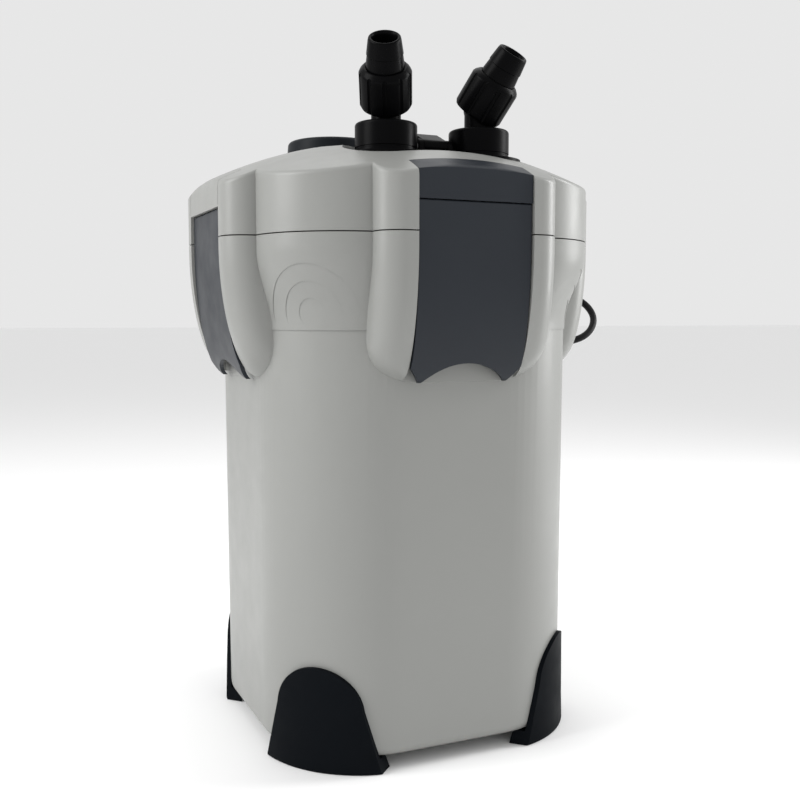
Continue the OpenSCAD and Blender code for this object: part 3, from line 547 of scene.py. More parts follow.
@dataclass
class Bucket:
    """The square bucket with its collar and four pairs of bellied lobes."""

    plan: Plan
    collar_height: float = 61 * MM
    straight: float = 8 * MM
    proud: float = 0.35 * MM
    base_round: float = 7 * MM
    wall: float = 4 * MM
    ledge: float = 14.2 * MM
    ledge_out: float = 130 * MM
    ripple_radii: tuple[float, ...] = (31 * MM, 20 * MM, 9.5 * MM)
    ripple_step: float = 0.45 * MM
    ripple_rise: float = 11 * MM

    def build(self) -> bpy.types.Object:
        """Model the bucket: body, collar and blocks joined, then pockets and hollow cut."""
        obj = as_object(self._body(), "bucket_shell")
        carve(obj, Cut.JOIN, self._collar(0.0), *(self._block(q) for q in range(4)))
        for quarter in range(4):
            for number, radius in enumerate(self.ripple_radii):
                depth = (number + 1) * self.ripple_step
                carve(obj, Cut.AWAY, self._ripple(quarter, radius, depth))
        plan = self.plan
        low = plan.rim_z - plan.belly_start - plan.belly_drop - OVERSHOOT
        ledge_z = plan.rim_z - self.ledge
        for quarter in range(4):
            far = plan.lobe_out + OVERSHOOT
            carve(obj, Cut.AWAY,
                  face_box(quarter, plan.gap_half, plan.body_half + 0.5 * MM, far, low, ledge_z),
                  face_box(quarter, plan.gap_half, self.ledge_out, far, ledge_z - 1 * MM,
                           plan.rim_z + OVERSHOOT))
        inside = rounded_square(plan.body_half - self.wall, plan.body_radius - self.wall)
        carve(obj, Cut.AWAY, prism(inside, plan.foot_z + self.wall, plan.rim_z + OVERSHOOT))
        tidy_mesh(obj)
        soften(obj, 1.1 * MM, 3)
        return piece(obj, SHELL, "housing", "bucket")

    def _body(self) -> bmesh.types.BMesh:
        """The plain bucket with a rounded lower edge."""
        rings = []
        plan = self.plan
        for step in range(5):
            angle = math.radians(90 * step / 4)
            z = plan.foot_z + self.base_round * (1 - math.cos(angle))
            inset = self.base_round * (1 - math.sin(angle)) + plan.drawn_in(z)
            outline = rounded_square(plan.body_half - inset, plan.body_radius - inset, 20)
            rings.append([Vector((x, y, z)) for x, y in outline])
        top = rounded_square(plan.body_half, plan.body_radius, 20)
        rings.append([Vector((x, y, plan.rim_z)) for x, y in top])
        return loft(rings)

    def _collar(self, lift: float) -> bmesh.types.BMesh:
        """The collar under the rim, easing in to the plain bucket towards its lower edge.

        Args:
            lift: How far it stands out from its own surface in the upper part; less than
                nothing for the floor of a sunk terrace. It fades out at the lower edge.

        Returns:
            The collar as a solid.
        """
        plan = self.plan
        steps = 16
        upper = rounded_square(plan.collar_half, plan.collar_radius, 24)
        lower_half, lower_radius = plan.body_half + self.proud, plan.body_radius + self.proud
        lower = [self._on_square(x, y, lower_half, lower_radius) for x, y in upper]
        rings = []
        for step in range(steps + 1):
            share = step / steps
            drop = 1 - share
            ease = drop * drop * (3 - 2 * drop)
            z = plan.rim_z - self.collar_height + (self.collar_height - self.straight) * share
            fade = min(max((z - plan.rim_z + self.collar_height - 3 * MM) / (14 * MM), 0.0), 1.0)
            rings.append(self._between(upper, lower, ease, lift * fade, z))
        rings.append(self._between(upper, lower, 0.0, lift, plan.rim_z))
        return loft(rings)

    @staticmethod
    def _on_square(x: float, y: float, half: float, radius: float) -> Point:
        """Where the ray from the axis through a point leaves a rounded square.

        Args:
            x: The point's first coordinate.
            y: Its second.
            half: Half the square's width.
            radius: Its corner radius.

        Returns:
            The point on the outline.
        """
        long, short = max(abs(x), abs(y)), min(abs(x), abs(y))
        inner = half - radius
        if short / long <= inner / half:
            scale = half / long
        else:
            reach = math.hypot(long, short)
            along = inner * (long + short) / reach
            scale = (along + math.sqrt(along * along - 2 * inner * inner + radius * radius)) / reach
        return (x * scale, y * scale)

    @staticmethod
    def _between(upper, lower, ease: float, lift: float, z: float) -> list[Vector]:
        """A ring part of the way from one outline to another.

        Args:
            upper: The outer outline.
            lower: The inner outline, point for point.
            ease: 0 on the upper outline, 1 on the lower.
            lift: Added radially.
            z: The ring's level.

        Returns:
            Its points.
        """
        ring = []
        for (ux, uy), (lx, ly) in zip(upper, lower, strict=True):
            x, y = ux + (lx - ux) * ease, uy + (ly - uy) * ease
            grow = 1 + lift / math.hypot(x, y)
            ring.append(Vector((x * grow, y * grow, z)))
        return ring

    def _block(self, quarter: int) -> bmesh.types.BMesh:
        """One face block: both lobes and what lies behind the latch, with its belly."""
        plan = self.plan
        bottom = plan.rim_z - plan.belly_start - plan.belly_drop
        levels = [plan.rim_z, plan.rim_z - plan.belly_start]
        top = plan.rim_z - plan.belly_start
        levels += [top - plan.belly_drop * math.sin(math.radians(a)) for a in range(4, 89, 4)]
        levels += [bottom]
        rings = []
        for z in levels:
            out = plan.lobe_out - plan.belly_in(z, plan.belly)
            drop = max(plan.lower_round - (z - bottom), 0.0)
            tuck = plan.lower_round - math.sqrt(max(plan.lower_round**2 - drop**2, 0.0))
            outline = plan.block_outline(out, plan.lobe_half - tuck)
            rings.append([Vector((x, y, z)) for x, y in turned(outline, quarter)])
        return loft(rings)

    def _ripple(self, quarter: int, radius: float, depth: float) -> bmesh.types.BMesh:
        """What is cut away for one sunk terrace of the moulded rings at a corner.

        Args:
            quarter: Which corner, counted from front left.
            radius: Radius of the ring.
            depth: Depth of the terrace.

        Returns:
            The tool as a solid.
        """
        plan = self.plan
        aim = Matrix.Rotation(math.radians(90 * quarter - 135), 4, "Z")
        aim @= Matrix.Rotation(math.radians(90), 4, "Y")
        centre = Matrix.Translation((0, 0, plan.rim_z - self.collar_height + self.ripple_rise))
        tool = as_object(rod(radius, 0.2, centre @ aim, 64), "terrace")
        edge = plan.rim_z - self.collar_height
        carve(tool, Cut.AWAY, self._collar(-depth), slab((-0.3, -0.3, 0.1), (0.3, 0.3, edge)))
        bm = bmesh.new()
        bm.from_mesh(tool.data)
        bpy.data.objects.remove(tool)
        return bm


@dataclass
class Head:
    """The domed motor head, its dark trims and its recesses."""

    plan: Plan
    low: float
    top: float
    tap_y: float
    tap_x: float
    button_centre: Point
    button_radius: float
    eave: float = 36.5 * MM
    dome_radius: float = 310 * MM
    eave_round: float = 2.2 * MM
    lobe_round: float = 9 * MM
    cap_rise: float = 21.55 * MM
    trim_in: float = 125 * MM
    trim_out: float = 139.4 * MM
    shelf_drop: float = 11.5 * MM
    plate_radius: float = 29 * MM
    notch_half: float = 22 * MM
    notch_back: float = 50.5 * MM
    parting: float = 0.35 * MM

    def dome(self, x: float, y: float) -> float:
        """Height of the roof over a point in plan, flat in the middle."""
        inner = self.plan.collar_half - self.plan.collar_radius
        corner = inner * math.sqrt(2) + self.plan.collar_radius
        centre = self.low + self.eave - math.sqrt(self.dome_radius**2 - corner**2)
        roof = min(centre + math.sqrt(self.dome_radius**2 - x * x - y * y), self.top)
        start = self.plan.lobe_out - self.lobe_round
        level = centre + math.sqrt((self.dome_radius - self.lobe_round) ** 2 - start * start)
        out = max(abs(x), abs(y)) - start
        if out > 0:
            roof = min(roof, level + math.sqrt(max(self.lobe_round**2 - out * out, 0.0)))
        return roof

    def solid(self) -> bmesh.types.BMesh:
        """The head as one closed solid: walls, rounded eave and dome."""
        outline = self.plan.whole_outline()
        rings = [[Vector((x, y, self.low)) for x, y in outline]]
        for step in range(5):
            angle = math.radians(90 * step / 4)
            inset = self.eave_round * (1 - math.cos(angle))
            drop = self.eave_round * (1 - math.sin(angle))
            ring = []
            for x, y in outline:
                scale = 1 - inset / math.hypot(x, y)
                ring.append(Vector((x * scale, y * scale, self.dome(x * scale, y * scale) - drop)))
            rings.append(ring)
        edge = rings[-1]
        shares = [0.988, 0.975, 0.962, 0.947, 0.93, 0.86, 0.79, 0.72, 0.65, 0.58, 0.52, 0.47]
        for share in (*shares, 0.40, 0.30, 0.18, 0.06):
            ring = [Vector((v.x * share, v.y * share, 0)) for v in edge]
            for v in ring:
                v.z = self.dome(v.x, v.y)
            rings.append(ring)
        return loft(rings)

    def build(self) -> None:
        """Model the shell with its recesses, and the two trims."""
        plan = self.plan
        obj = as_object(self.solid(), "head_shell_domed")
        far = plan.lobe_out + OVERSHOOT
        cap = self.low + self.cap_rise
        hollow = rounded_square(plan.collar_half - 5 * MM, plan.collar_radius - 5 * MM)
        tools = [prism(hollow, self.low - OVERSHOOT, self.low + 30 * MM)]
        pocket = plan.under_cap(plan.collar_half - 0.5 * MM, far, self.low - OVERSHOOT)
        tools += [face_prism(quarter, plan.gap_half, pocket) for quarter in range(4)]
        for quarter in (0, 2):
            tools.append(face_box(quarter, plan.gap_half, self.trim_in, far, cap - 5 * MM,
                                  self.top))
        tools += [cut for quarter in (1, 3) for cut in self._parting_lines(quarter, cap)]
        tools.append(self._tap_recess())
        well = Matrix.Translation((*self.button_centre, self.top - 25 * MM))
        tools.append(rod(self.button_radius + 0.6 * MM, 60 * MM, well, 96))
        carve(obj, Cut.AWAY, *tools)
        tidy_mesh(obj)
        soften(obj, 0.7 * MM, 3, 34)
        piece(obj, SHELL, "housing", "head_shell")
        for quarter, node in ((0, "front_trim"), (2, "back_trim")):
            trim = as_object(self.solid(), node + "_dark")
            shape = plan.under_cap(self.trim_in + 0.3 * MM, self.trim_out, self.top)
            carve(trim, Cut.KEEP, face_prism(quarter, plan.gap_half - 0.3 * MM, shape))
            tidy_mesh(trim)
            soften(trim, 0.4 * MM, 3, 34)
            piece(trim, LATCH, "housing", node)

    def _parting_lines(self, quarter: int, cap: float) -> list[bmesh.types.BMesh]:
        """Fine slits that set the light cap over a side latch apart from the head."""
        plan = self.plan
        far = plan.lobe_out + OVERSHOOT
        slits = []
        for sign in (-1, 1):
            middle = sign * plan.gap_half
            bm = slab((middle - self.parting, -far, cap - 1 * MM),
                      (middle + self.parting, -(self.trim_in - self.parting), self.top))
            bmesh.ops.transform(bm, matrix=facing(quarter), verts=bm.verts)
            slits.append(bm)
        bm = slab((-plan.gap_half, -(self.trim_in + self.parting), cap + 12 * MM),
                  (plan.gap_half, -(self.trim_in - self.parting), self.top))
        bmesh.ops.transform(bm, matrix=facing(quarter), verts=bm.verts)
        return [*slits, bm]

    def _tap_recess(self) -> bmesh.types.BMesh:
        """The shelf for the tap plate and the notch for the lever, as one tool."""
        reach = self.plate_radius + 0.4 * MM
        outline = arc((self.tap_x, self.tap_y), reach, -90, 90, 24)
        outline += [(self.notch_half, self.tap_y + reach)]
        outline += [(self.notch_half, self.tap_y + self.notch_back)]
        outline += [(-self.notch_half, self.tap_y + self.notch_back)]
        outline += [(-self.notch_half, self.tap_y + reach)]
        outline += arc((-self.tap_x, self.tap_y), reach, 90, 270, 24)
        return prism(outline, self.top - self.shelf_drop, self.top + OVERSHOOT)


# ------------------------------------------------------------------ latches and feet


@dataclass
class Latch:
    """A bellied latch: hinge barrel, curved panel with a finger arch, and hook."""

    plan: Plan
    name: str
    quarter: int
    barrel: float = 8 * MM
    half: float = 40 * MM
    out: float = 139 * MM
    thickness: float = 3 * MM
    belly: float = 22 * MM
    tip_half: float = 30.5 * MM
    brow: float = 1.6 * MM
    arch: float = 12.5 * MM

    def build(self) -> bpy.types.Object:
        """Model the latch on the front face and turn it to its own."""
        plan = self.plan
        pivot_z = plan.rim_z + plan.pivot_rise
        tip_z = plan.rim_z - plan.belly_start - plan.belly_drop + 1.3 * MM
        obj = as_object(self._panel(pivot_z, tip_z), self.name + "_panel")
        carve(obj, Cut.KEEP, self._front_outline(pivot_z, tip_z))
        across = Matrix.Translation((-self.half, -self.plan.pivot_out, pivot_z))
        across @= Matrix.Rotation(math.radians(90), 4, "Y")
        hook_top = plan.rim_z - 14.6 * MM
        hook = slab((-30 * MM, -(self.out - 1.5 * MM), hook_top - 7 * MM),
                    (30 * MM, -(self.plan.pivot_out - 6 * MM), hook_top))
        carve(obj, Cut.JOIN, rod(self.barrel, 2 * self.half, across), self._brow(pivot_z), hook)
        tidy_mesh(obj)
        soften(obj, 1.0 * MM, 4, 40)
        obj.data.transform(facing(self.quarter))
        return piece(obj, LATCH, self.name, self.name)

    def _brow(self, pivot_z: float) -> bmesh.types.BMesh:
        """The squared upper edge over the barrel, which meets the trim."""
        top = pivot_z + self.barrel + 0.2 * MM
        corner = arc((self.out - self.brow, top - self.brow), self.brow, 0, 90, 8)
        side_view = [(self.plan.pivot_out, pivot_z), (self.out, pivot_z), *corner, (self.plan.pivot_out, top)]
        rings = [[Vector((x, -out, z)) for out, z in side_view] for x in (-self.half, self.half)]
        return loft(rings)

    def _panel(self, pivot_z: float, tip_z: float) -> bmesh.types.BMesh:
        """The curved panel, lofted down from the hinge."""
        plan = self.plan
        top = plan.rim_z - plan.belly_start
        levels = [pivot_z, (pivot_z + top) / 2, top]
        sweep = math.degrees(math.asin((top - tip_z + 1 * MM) / plan.belly_drop))
        levels += [top - plan.belly_drop * math.sin(math.radians(sweep * i / 20)) for i in range(1, 21)]
        rings = []
        for z in levels:
            out = self.out - plan.belly_in(z, self.belly)
            front = [(-self.half, -out), *line((-self.half, -out), (self.half, -out), 12), (self.half, -out)]
            back = [(x, y + self.thickness) for x, y in reversed(front)]
            rings.append([Vector((x, y, z)) for x, y in [*front, *back]])
        return loft(rings)

    def _front_outline(self, pivot_z: float, tip_z: float) -> bmesh.types.BMesh:
        """The latch's outline seen from the front, as a tool pushed through the panel."""
        radius = (self.tip_half**2 + self.arch**2) / (2 * self.arch)
        lean = math.degrees(math.asin(self.tip_half / radius))
        arch = arc((0, tip_z + self.arch - radius), radius, 90 - lean, 90 + lean, 20)
        tip = (self.tip_half + 1.6 * MM, tip_z)
        side = self.half + 1 * MM
        right = [(self.tip_half, tip_z), tip, (side, tip_z + 11 * MM), (side, pivot_z + 2 * self.barrel)]
        left = [(-x, z) for x, z in reversed(right)]
        outline = [*right, *left, *reversed(arch[1:-1])]
        rings = [[Vector((x, -y, z)) for x, z in outline] for y in (0.10, 0.15)]
        return loft(rings)


@dataclass
class Foot:
    """A soft corner shoe with an arched top and a pad under the bucket."""

    plan: Plan
    name: str
    quarter: int
    height: float = 70 * MM
    half: float = 42.6 * MM
    stand: float = 3 * MM
    pad: float = 9 * MM

    def build(self) -> bpy.types.Object:
        """Model the shoe at the back right corner and turn it to its own."""
        plan = self.plan
        rings = []
        for z, flare in ((0.0, 0.4), (1.5 * MM, 1.0), (20 * MM, 0.5), (60 * MM, 0.0), (75 * MM, 0.0)):
            grow = self.stand + flare * MM - plan.drawn_in(z)
            ring = rounded_square(plan.body_half + grow, plan.body_radius + grow, 24)
            rings.append([Vector((x, y, z)) for x, y in ring])
        obj = as_object(loft(rings), self.name + "_shoe")
        inside = []
        for z in (plan.foot_z, 0.1):
            fit = 0.1 * MM - plan.drawn_in(z)
            ring = rounded_square(plan.body_half + fit, plan.body_radius + fit, 24)
            inside.append([Vector((x, y, z)) for x, y in ring])
        core = rounded_square(plan.body_half - self.pad, plan.body_radius - self.pad, 24)
        carve(obj, Cut.AWAY, loft(inside), prism(core, -OVERSHOOT, 0.1))
        carve(obj, Cut.KEEP, self._arch())
        tidy_mesh(obj)
        soften(obj, 1.1 * MM, 4, 35)
        obj.data.transform(facing(self.quarter))
        return piece(obj, FOOT, "housing", self.name)

    def _arch(self) -> bmesh.types.BMesh:
        """The arched outline seen along the corner's diagonal, as a tool."""
        crown = 0.74 * self.half
        outline = [(-self.half, -OVERSHOOT), (self.half, -OVERSHOOT), (self.half, 0.0)]
        outline += arc((0, self.height - crown), crown, 6, 174, 28)
        outline += [(-self.half, 0.0)]
        turn = Matrix.Rotation(math.radians(45), 4, "Z")
        rings = [[turn @ Vector((x, y, z)) for y, z in outline] for x in (0.06, 0.2)]
        return loft(rings)


# ------------------------------------------------------------------ taps, button and lead


@dataclass
class Taps:
    """The tap plate with its collars and lever."""

    tap_x: float
    tap_y: float
    shelf: float
    plate: float = 3 * MM
    plate_radius: float = 29 * MM
    collar_radius: float = 20.9 * MM
    collar_height: float = 20.5 * MM
    neck: float = 10 * MM

    def build(self) -> None:
        """Model the plate, both collars and the lever."""
        self._plate()
        for side in Side:
            self._collar(side)
        self._lever()

    def _plate(self) -> None:
        """The thin plate with the two ears that carry the lever's pin."""
        outline = arc((self.tap_x, self.tap_y), self.plate_radius, -90, 90, 24)
        outline += arc((-self.tap_x, self.tap_y), self.plate_radius, 90, 270, 24)
        obj = as_object(prism(outline, self.shelf, self.shelf + self.plate), "tap_plate_moulded")
        pivot = self.shelf + self.plate + 7.5 * MM
        for sign in (-1, 1):
            ear = slab((sign * 10.6 * MM - 1.7 * MM, self.tap_y - 5 * MM, self.shelf + 1 * MM),
                       (sign * 10.6 * MM + 1.7 * MM, self.tap_y + 5 * MM, pivot))
            at = Matrix.Translation((sign * 10.6 * MM - 1.7 * MM, self.tap_y, pivot))
            at @= Matrix.Rotation(math.radians(90), 4, "Y")
            carve(obj, Cut.JOIN, ear, rod(5 * MM, 3.4 * MM, at, 32))
            carve(obj, Cut.AWAY, rod(2.05 * MM, 9 * MM, at @ Matrix.Translation((0, 0, -3 * MM)), 24))
        tidy_mesh(obj)
        soften(obj, 0.5 * MM, 3, 40)
        piece(obj, GLOSS, "housing", "tap_plate")

    def _collar(self, side: Side) -> None:
        """A round collar with a rolled top edge and a fine groove round its foot."""
        low = self.shelf + self.plate
        high = low + self.collar_height
        radius, inner = self.collar_radius, 17 * MM
        profile = [(inner, low), (radius - 0.5 * MM, low), (radius, low + 0.5 * MM),
                   (radius, low + 3 * MM), (radius - 0.5 * MM, low + 3.3 * MM),
                   (radius - 0.5 * MM, low + 4.0 * MM), (radius, low + 4.3 * MM)]
        profile += arc((radius - 2.2 * MM, high - 2.2 * MM), 2.2 * MM, 0, 90, 6)
        profile += [(self.neck + 3.5 * MM, high), (self.neck + 3.1 * MM, high - 0.7 * MM),
                    (self.neck + 0.3 * MM, high - 0.7 * MM), (self.neck + 0.08 * MM, high - 1 * MM),
                    (self.neck + 0.08 * MM, low + 9.8 * MM), (inner, low + 9.8 * MM)]
        at = Matrix.Translation((side.value * self.tap_x, self.tap_y, 0))
        obj = as_object(spun(profile, at, 96), side.name.lower() + "_collar_turned")
        piece(obj, GLOSS, "housing", side.name.lower() + "_collar")

    def _lever(self) -> None:
        """The lever: an arm from its pin and a wide slanted grip."""
        pivot = Vector((0, self.tap_y, self.shelf + self.plate + 7.5 * MM))
        arm = [(-1, -4.9), (20, -3), (20, 10.5), (12, 10.5), (-1, 4.9)]
        grip = [(18.5, -3), (37, -3), (37, 2), (35.5, 4.5), (29.8, 10.0), (28, 10.5), (18.5, 10.5)]
        obj = as_object(self._bar(pivot, arm, 8.6 * MM), "tap_lever_moulded")
        at = Matrix.Translation(pivot - Vector((8.6 * MM, 0, 0))) @ Matrix.Rotation(math.radians(90), 4, "Y")
        carve(obj, Cut.JOIN, self._bar(pivot, grip, 15 * MM), rod(5 * MM, 17.2 * MM, at, 40))
        for row in range(4):
            y = 21.5 + 2.4 * row
            groove = slab((-11 * MM, pivot.y + y * MM, pivot.z + 9.9 * MM),
                          (11 * MM, pivot.y + (y + 1) * MM, pivot.z + 12 * MM))
            carve(obj, Cut.AWAY, groove)
        carve(obj, Cut.AWAY, rod(2.1 * MM, 30 * MM, at @ Matrix.Translation((0, 0, -6 * MM)), 24))
        tidy_mesh(obj)
        soften(obj, 0.6 * MM, 3, 40)
        piece(obj, GLOSS, "tap_lever", "tap_lever")

    @staticmethod
    def _bar(pivot: Vector, side_view: Sequence[Point], half: float) -> bmesh.types.BMesh:
        """A bar across X from its side view in millimetres about the pivot."""
        rings = [[Vector((x, pivot.y + y * MM, pivot.z + z * MM)) for y, z in side_view]
                 for x in (-half, half)]
        return loft(rings)


@dataclass
class HoseConnector:
    """A swivelling elbow with a tapered hose tail, and the ribbed nut on it."""

    side: Side
    tap_x: float
    tap_y: float
    plate_top: float
    bend_z: float
    tilt: float = 40.0
    splay: float = 25.0
    neck: float = 10 * MM
    bore: float = 7.5 * MM
    tail: float = 45 * MM
    thread: float = 14 * MM
    nut: float = 17.5 * MM
    lugs: int = 10

    def build(self) -> None:
        """Model the elbow and the nut."""
        name = self.side.name.lower()
        elbow = as_object(self._neck(), name + "_elbow_moulded")
        ball = bmesh.new()
        centre = Matrix.Translation((self.side.value * self.tap_x, self.tap_y, self.bend_z))
        bmesh.ops.create_uvsphere(ball, u_segments=40, v_segments=24, radius=self.neck + 0.6 * MM,
                                  matrix=centre)
        carve(elbow, Cut.JOIN, ball, self._tail())
        tidy_mesh(elbow)
        soften(elbow, 0.3 * MM, 2, 50)
        piece(elbow, GLOSS, name + "_elbow", name + "_elbow")
        nut = as_object(self._nut_body(), name + "_nut_ribbed")
        carve(nut, Cut.AWAY, merged(self._groove(i) for i in range(self.lugs)))
        tidy_mesh(nut)
        soften(nut, 0.45 * MM, 3, 32)
        piece(nut, GLOSS, name + "_nut", name + "_nut")

    def axis(self) -> Matrix:
        """The hose tail's line: origin at the bend, +Z out of the mouth."""
        turn = Matrix.Rotation(math.radians(self.side.value * self.splay), 4, "Z")
        lean = Matrix.Rotation(math.radians(self.tilt), 4, "X")
        return Matrix.Translation((self.side.value * self.tap_x, self.tap_y, self.bend_z)) @ turn @ lean

    def _neck(self) -> bmesh.types.BMesh:
        """The upright neck with the flange that the collar holds."""
        low = self.plate_top + 0.4 * MM
        flange = self.plate_top + 5.5 * MM
        wide = self.thread + 2.5 * MM
        profile = [(0, low), (self.neck, low), (self.neck, flange), (wide, flange),
                   (wide, flange + 4 * MM), (self.neck, flange + 4 * MM), (self.neck, self.bend_z),
                   (0, self.bend_z)]
        return spun(profile, Matrix.Translation((self.side.value * self.tap_x, self.tap_y, 0)), 56)

    def _tail(self) -> bmesh.types.BMesh:
        """The threaded root and the barbed taper, open at the mouth."""
        wide = self.neck + 2.6 * MM
        low_barb = self.tail - 11 * MM
        profile = [(0, 3 * MM), (self.thread - 0.8 * MM, 3 * MM), (self.thread, 3.8 * MM),
                   (self.thread, 22 * MM), (wide, 22.4 * MM), (wide, 27 * MM),
                   (wide - 0.9 * MM, low_barb - 0.4 * MM), (wide - 0.5 * MM, low_barb),
                   (self.neck + 0.9 * MM, self.tail - 2.2 * MM)]
        profile += arc((self.neck - 0.5 * MM, self.tail - 1.1 * MM), 1.1 * MM, 10, 170, 8)
        profile += [(self.bore, self.tail - 3 * MM), (self.bore, 6 * MM), (0, 6 * MM)]
        return spun(profile, self.axis(), 72)

    def _nut_body(self) -> bmesh.types.BMesh:
        """The nut's turned body, before its grooves."""
        low, high = -2.5 * MM, 25 * MM
        wide, lip = self.neck + 5.6 * MM, self.neck + 3 * MM
        run = self.thread + 0.06 * MM
        profile = [(wide, low), (self.nut - 1 * MM, low), (self.nut, low + 2 * MM),
                   (self.nut, high - 4 * MM)]
        profile += [(self.nut - 0.9 * MM, high - 2.2 * MM), (self.nut - 2.6 * MM, high - 0.5 * MM)]
        profile += [(self.nut - 3.4 * MM, high), (lip, high), (lip, high - 3 * MM),
                    (run, high - 3 * MM), (run, 1.5 * MM), (wide, 1.5 * MM)]
        return spun(profile, self.axis(), 120)

    def _groove(self, index: int) -> bmesh.types.BMesh:
        """One of the grooves between the nut's lugs."""
        turn = Matrix.Rotation(math.tau * (index + 0.5) / self.lugs, 4, "Z")
        at = self.axis() @ turn @ Matrix.Translation((self.nut + 0.55 * MM, 0, -4 * MM))
        return rod(1.7 * MM, 27 * MM, at, 20)


@dataclass
class PrimingButton:
    """The round priming button with its rolled rim."""

    centre: Point
    radius: float
    low: float
    high: float
    roll: float = 3.2 * MM
    wall: float = 3 * MM

    def build(self) -> bpy.types.Object:
        """Spin the cap from its profile."""
        top = self.high
        rim = arc((self.radius - 1.2 * MM - self.roll, top - self.roll), self.roll, 4, 90, 8)
        profile = [(self.radius - self.wall, self.low), (self.radius, self.low),
                   (self.radius, self.low + 12.5 * MM), *rim,
                   (self.radius * 0.78, top + 0.0), (self.radius * 0.74, top - 0.35 * MM),
                   (self.radius * 0.4, top - 0.15 * MM), (0, top - 0.1 * MM), (0, top - self.wall),
                   (self.radius - self.wall - 4 * MM, top - self.wall),
                   (self.radius - self.wall, top - self.wall - 4 * MM)]
        at = Matrix.Translation((*self.centre, 0))
        obj = as_object(self._open_spin(profile, at), "priming_button_cap")
        return piece(obj, BUTTON, "priming_button", "priming_button")

    def _open_spin(self, profile: Sequence[Point], at: Matrix) -> bmesh.types.BMesh:
        """Spin a wall whose profile crosses the axis: outer half up, inner half back down."""
        turn = next(i for i, p in enumerate(profile) if p[0] == 0)
        order = [*profile[turn + 1:], *profile[:turn + 1]]
        return spun([(0, order[0][1]), *order], at, 96)


@dataclass
class PrimerSpring:
    """The conical return spring, squeezed by the button."""

    centre: Point
    low: float
    high: float
    wide: float = 24 * MM
    narrow: float = 16 * MM
    wire: float = 1 * MM
    turns: int = 4
    keep: float = 0.72

    def build(self) -> bpy.types.Object:
        """Sweep the wire round its cone."""
        steps = self.turns * 36
        rise = self.high - self.low - 2 * self.wire
        rings = []
        for step in range(steps + 1):
            share = step / steps
            turn = Matrix.Rotation(math.tau * self.turns * share, 4, "Z")
            radius = self.wide + (self.narrow - self.wide) * share
            section = arc((radius, self.wire + rise * share), self.wire, 0, 324, 9)
            rings.append([turn @ Vector((r, 0, z)) for r, z in section])
        bm = loft(rings)
        place = Matrix.Translation((*self.centre, self.low))
        bmesh.ops.transform(bm, matrix=place, verts=bm.verts)
        obj = as_object(bm, "primer_spring_coil")
        piece(obj, STEEL, "housing", "primer_spring")
        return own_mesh(obj)


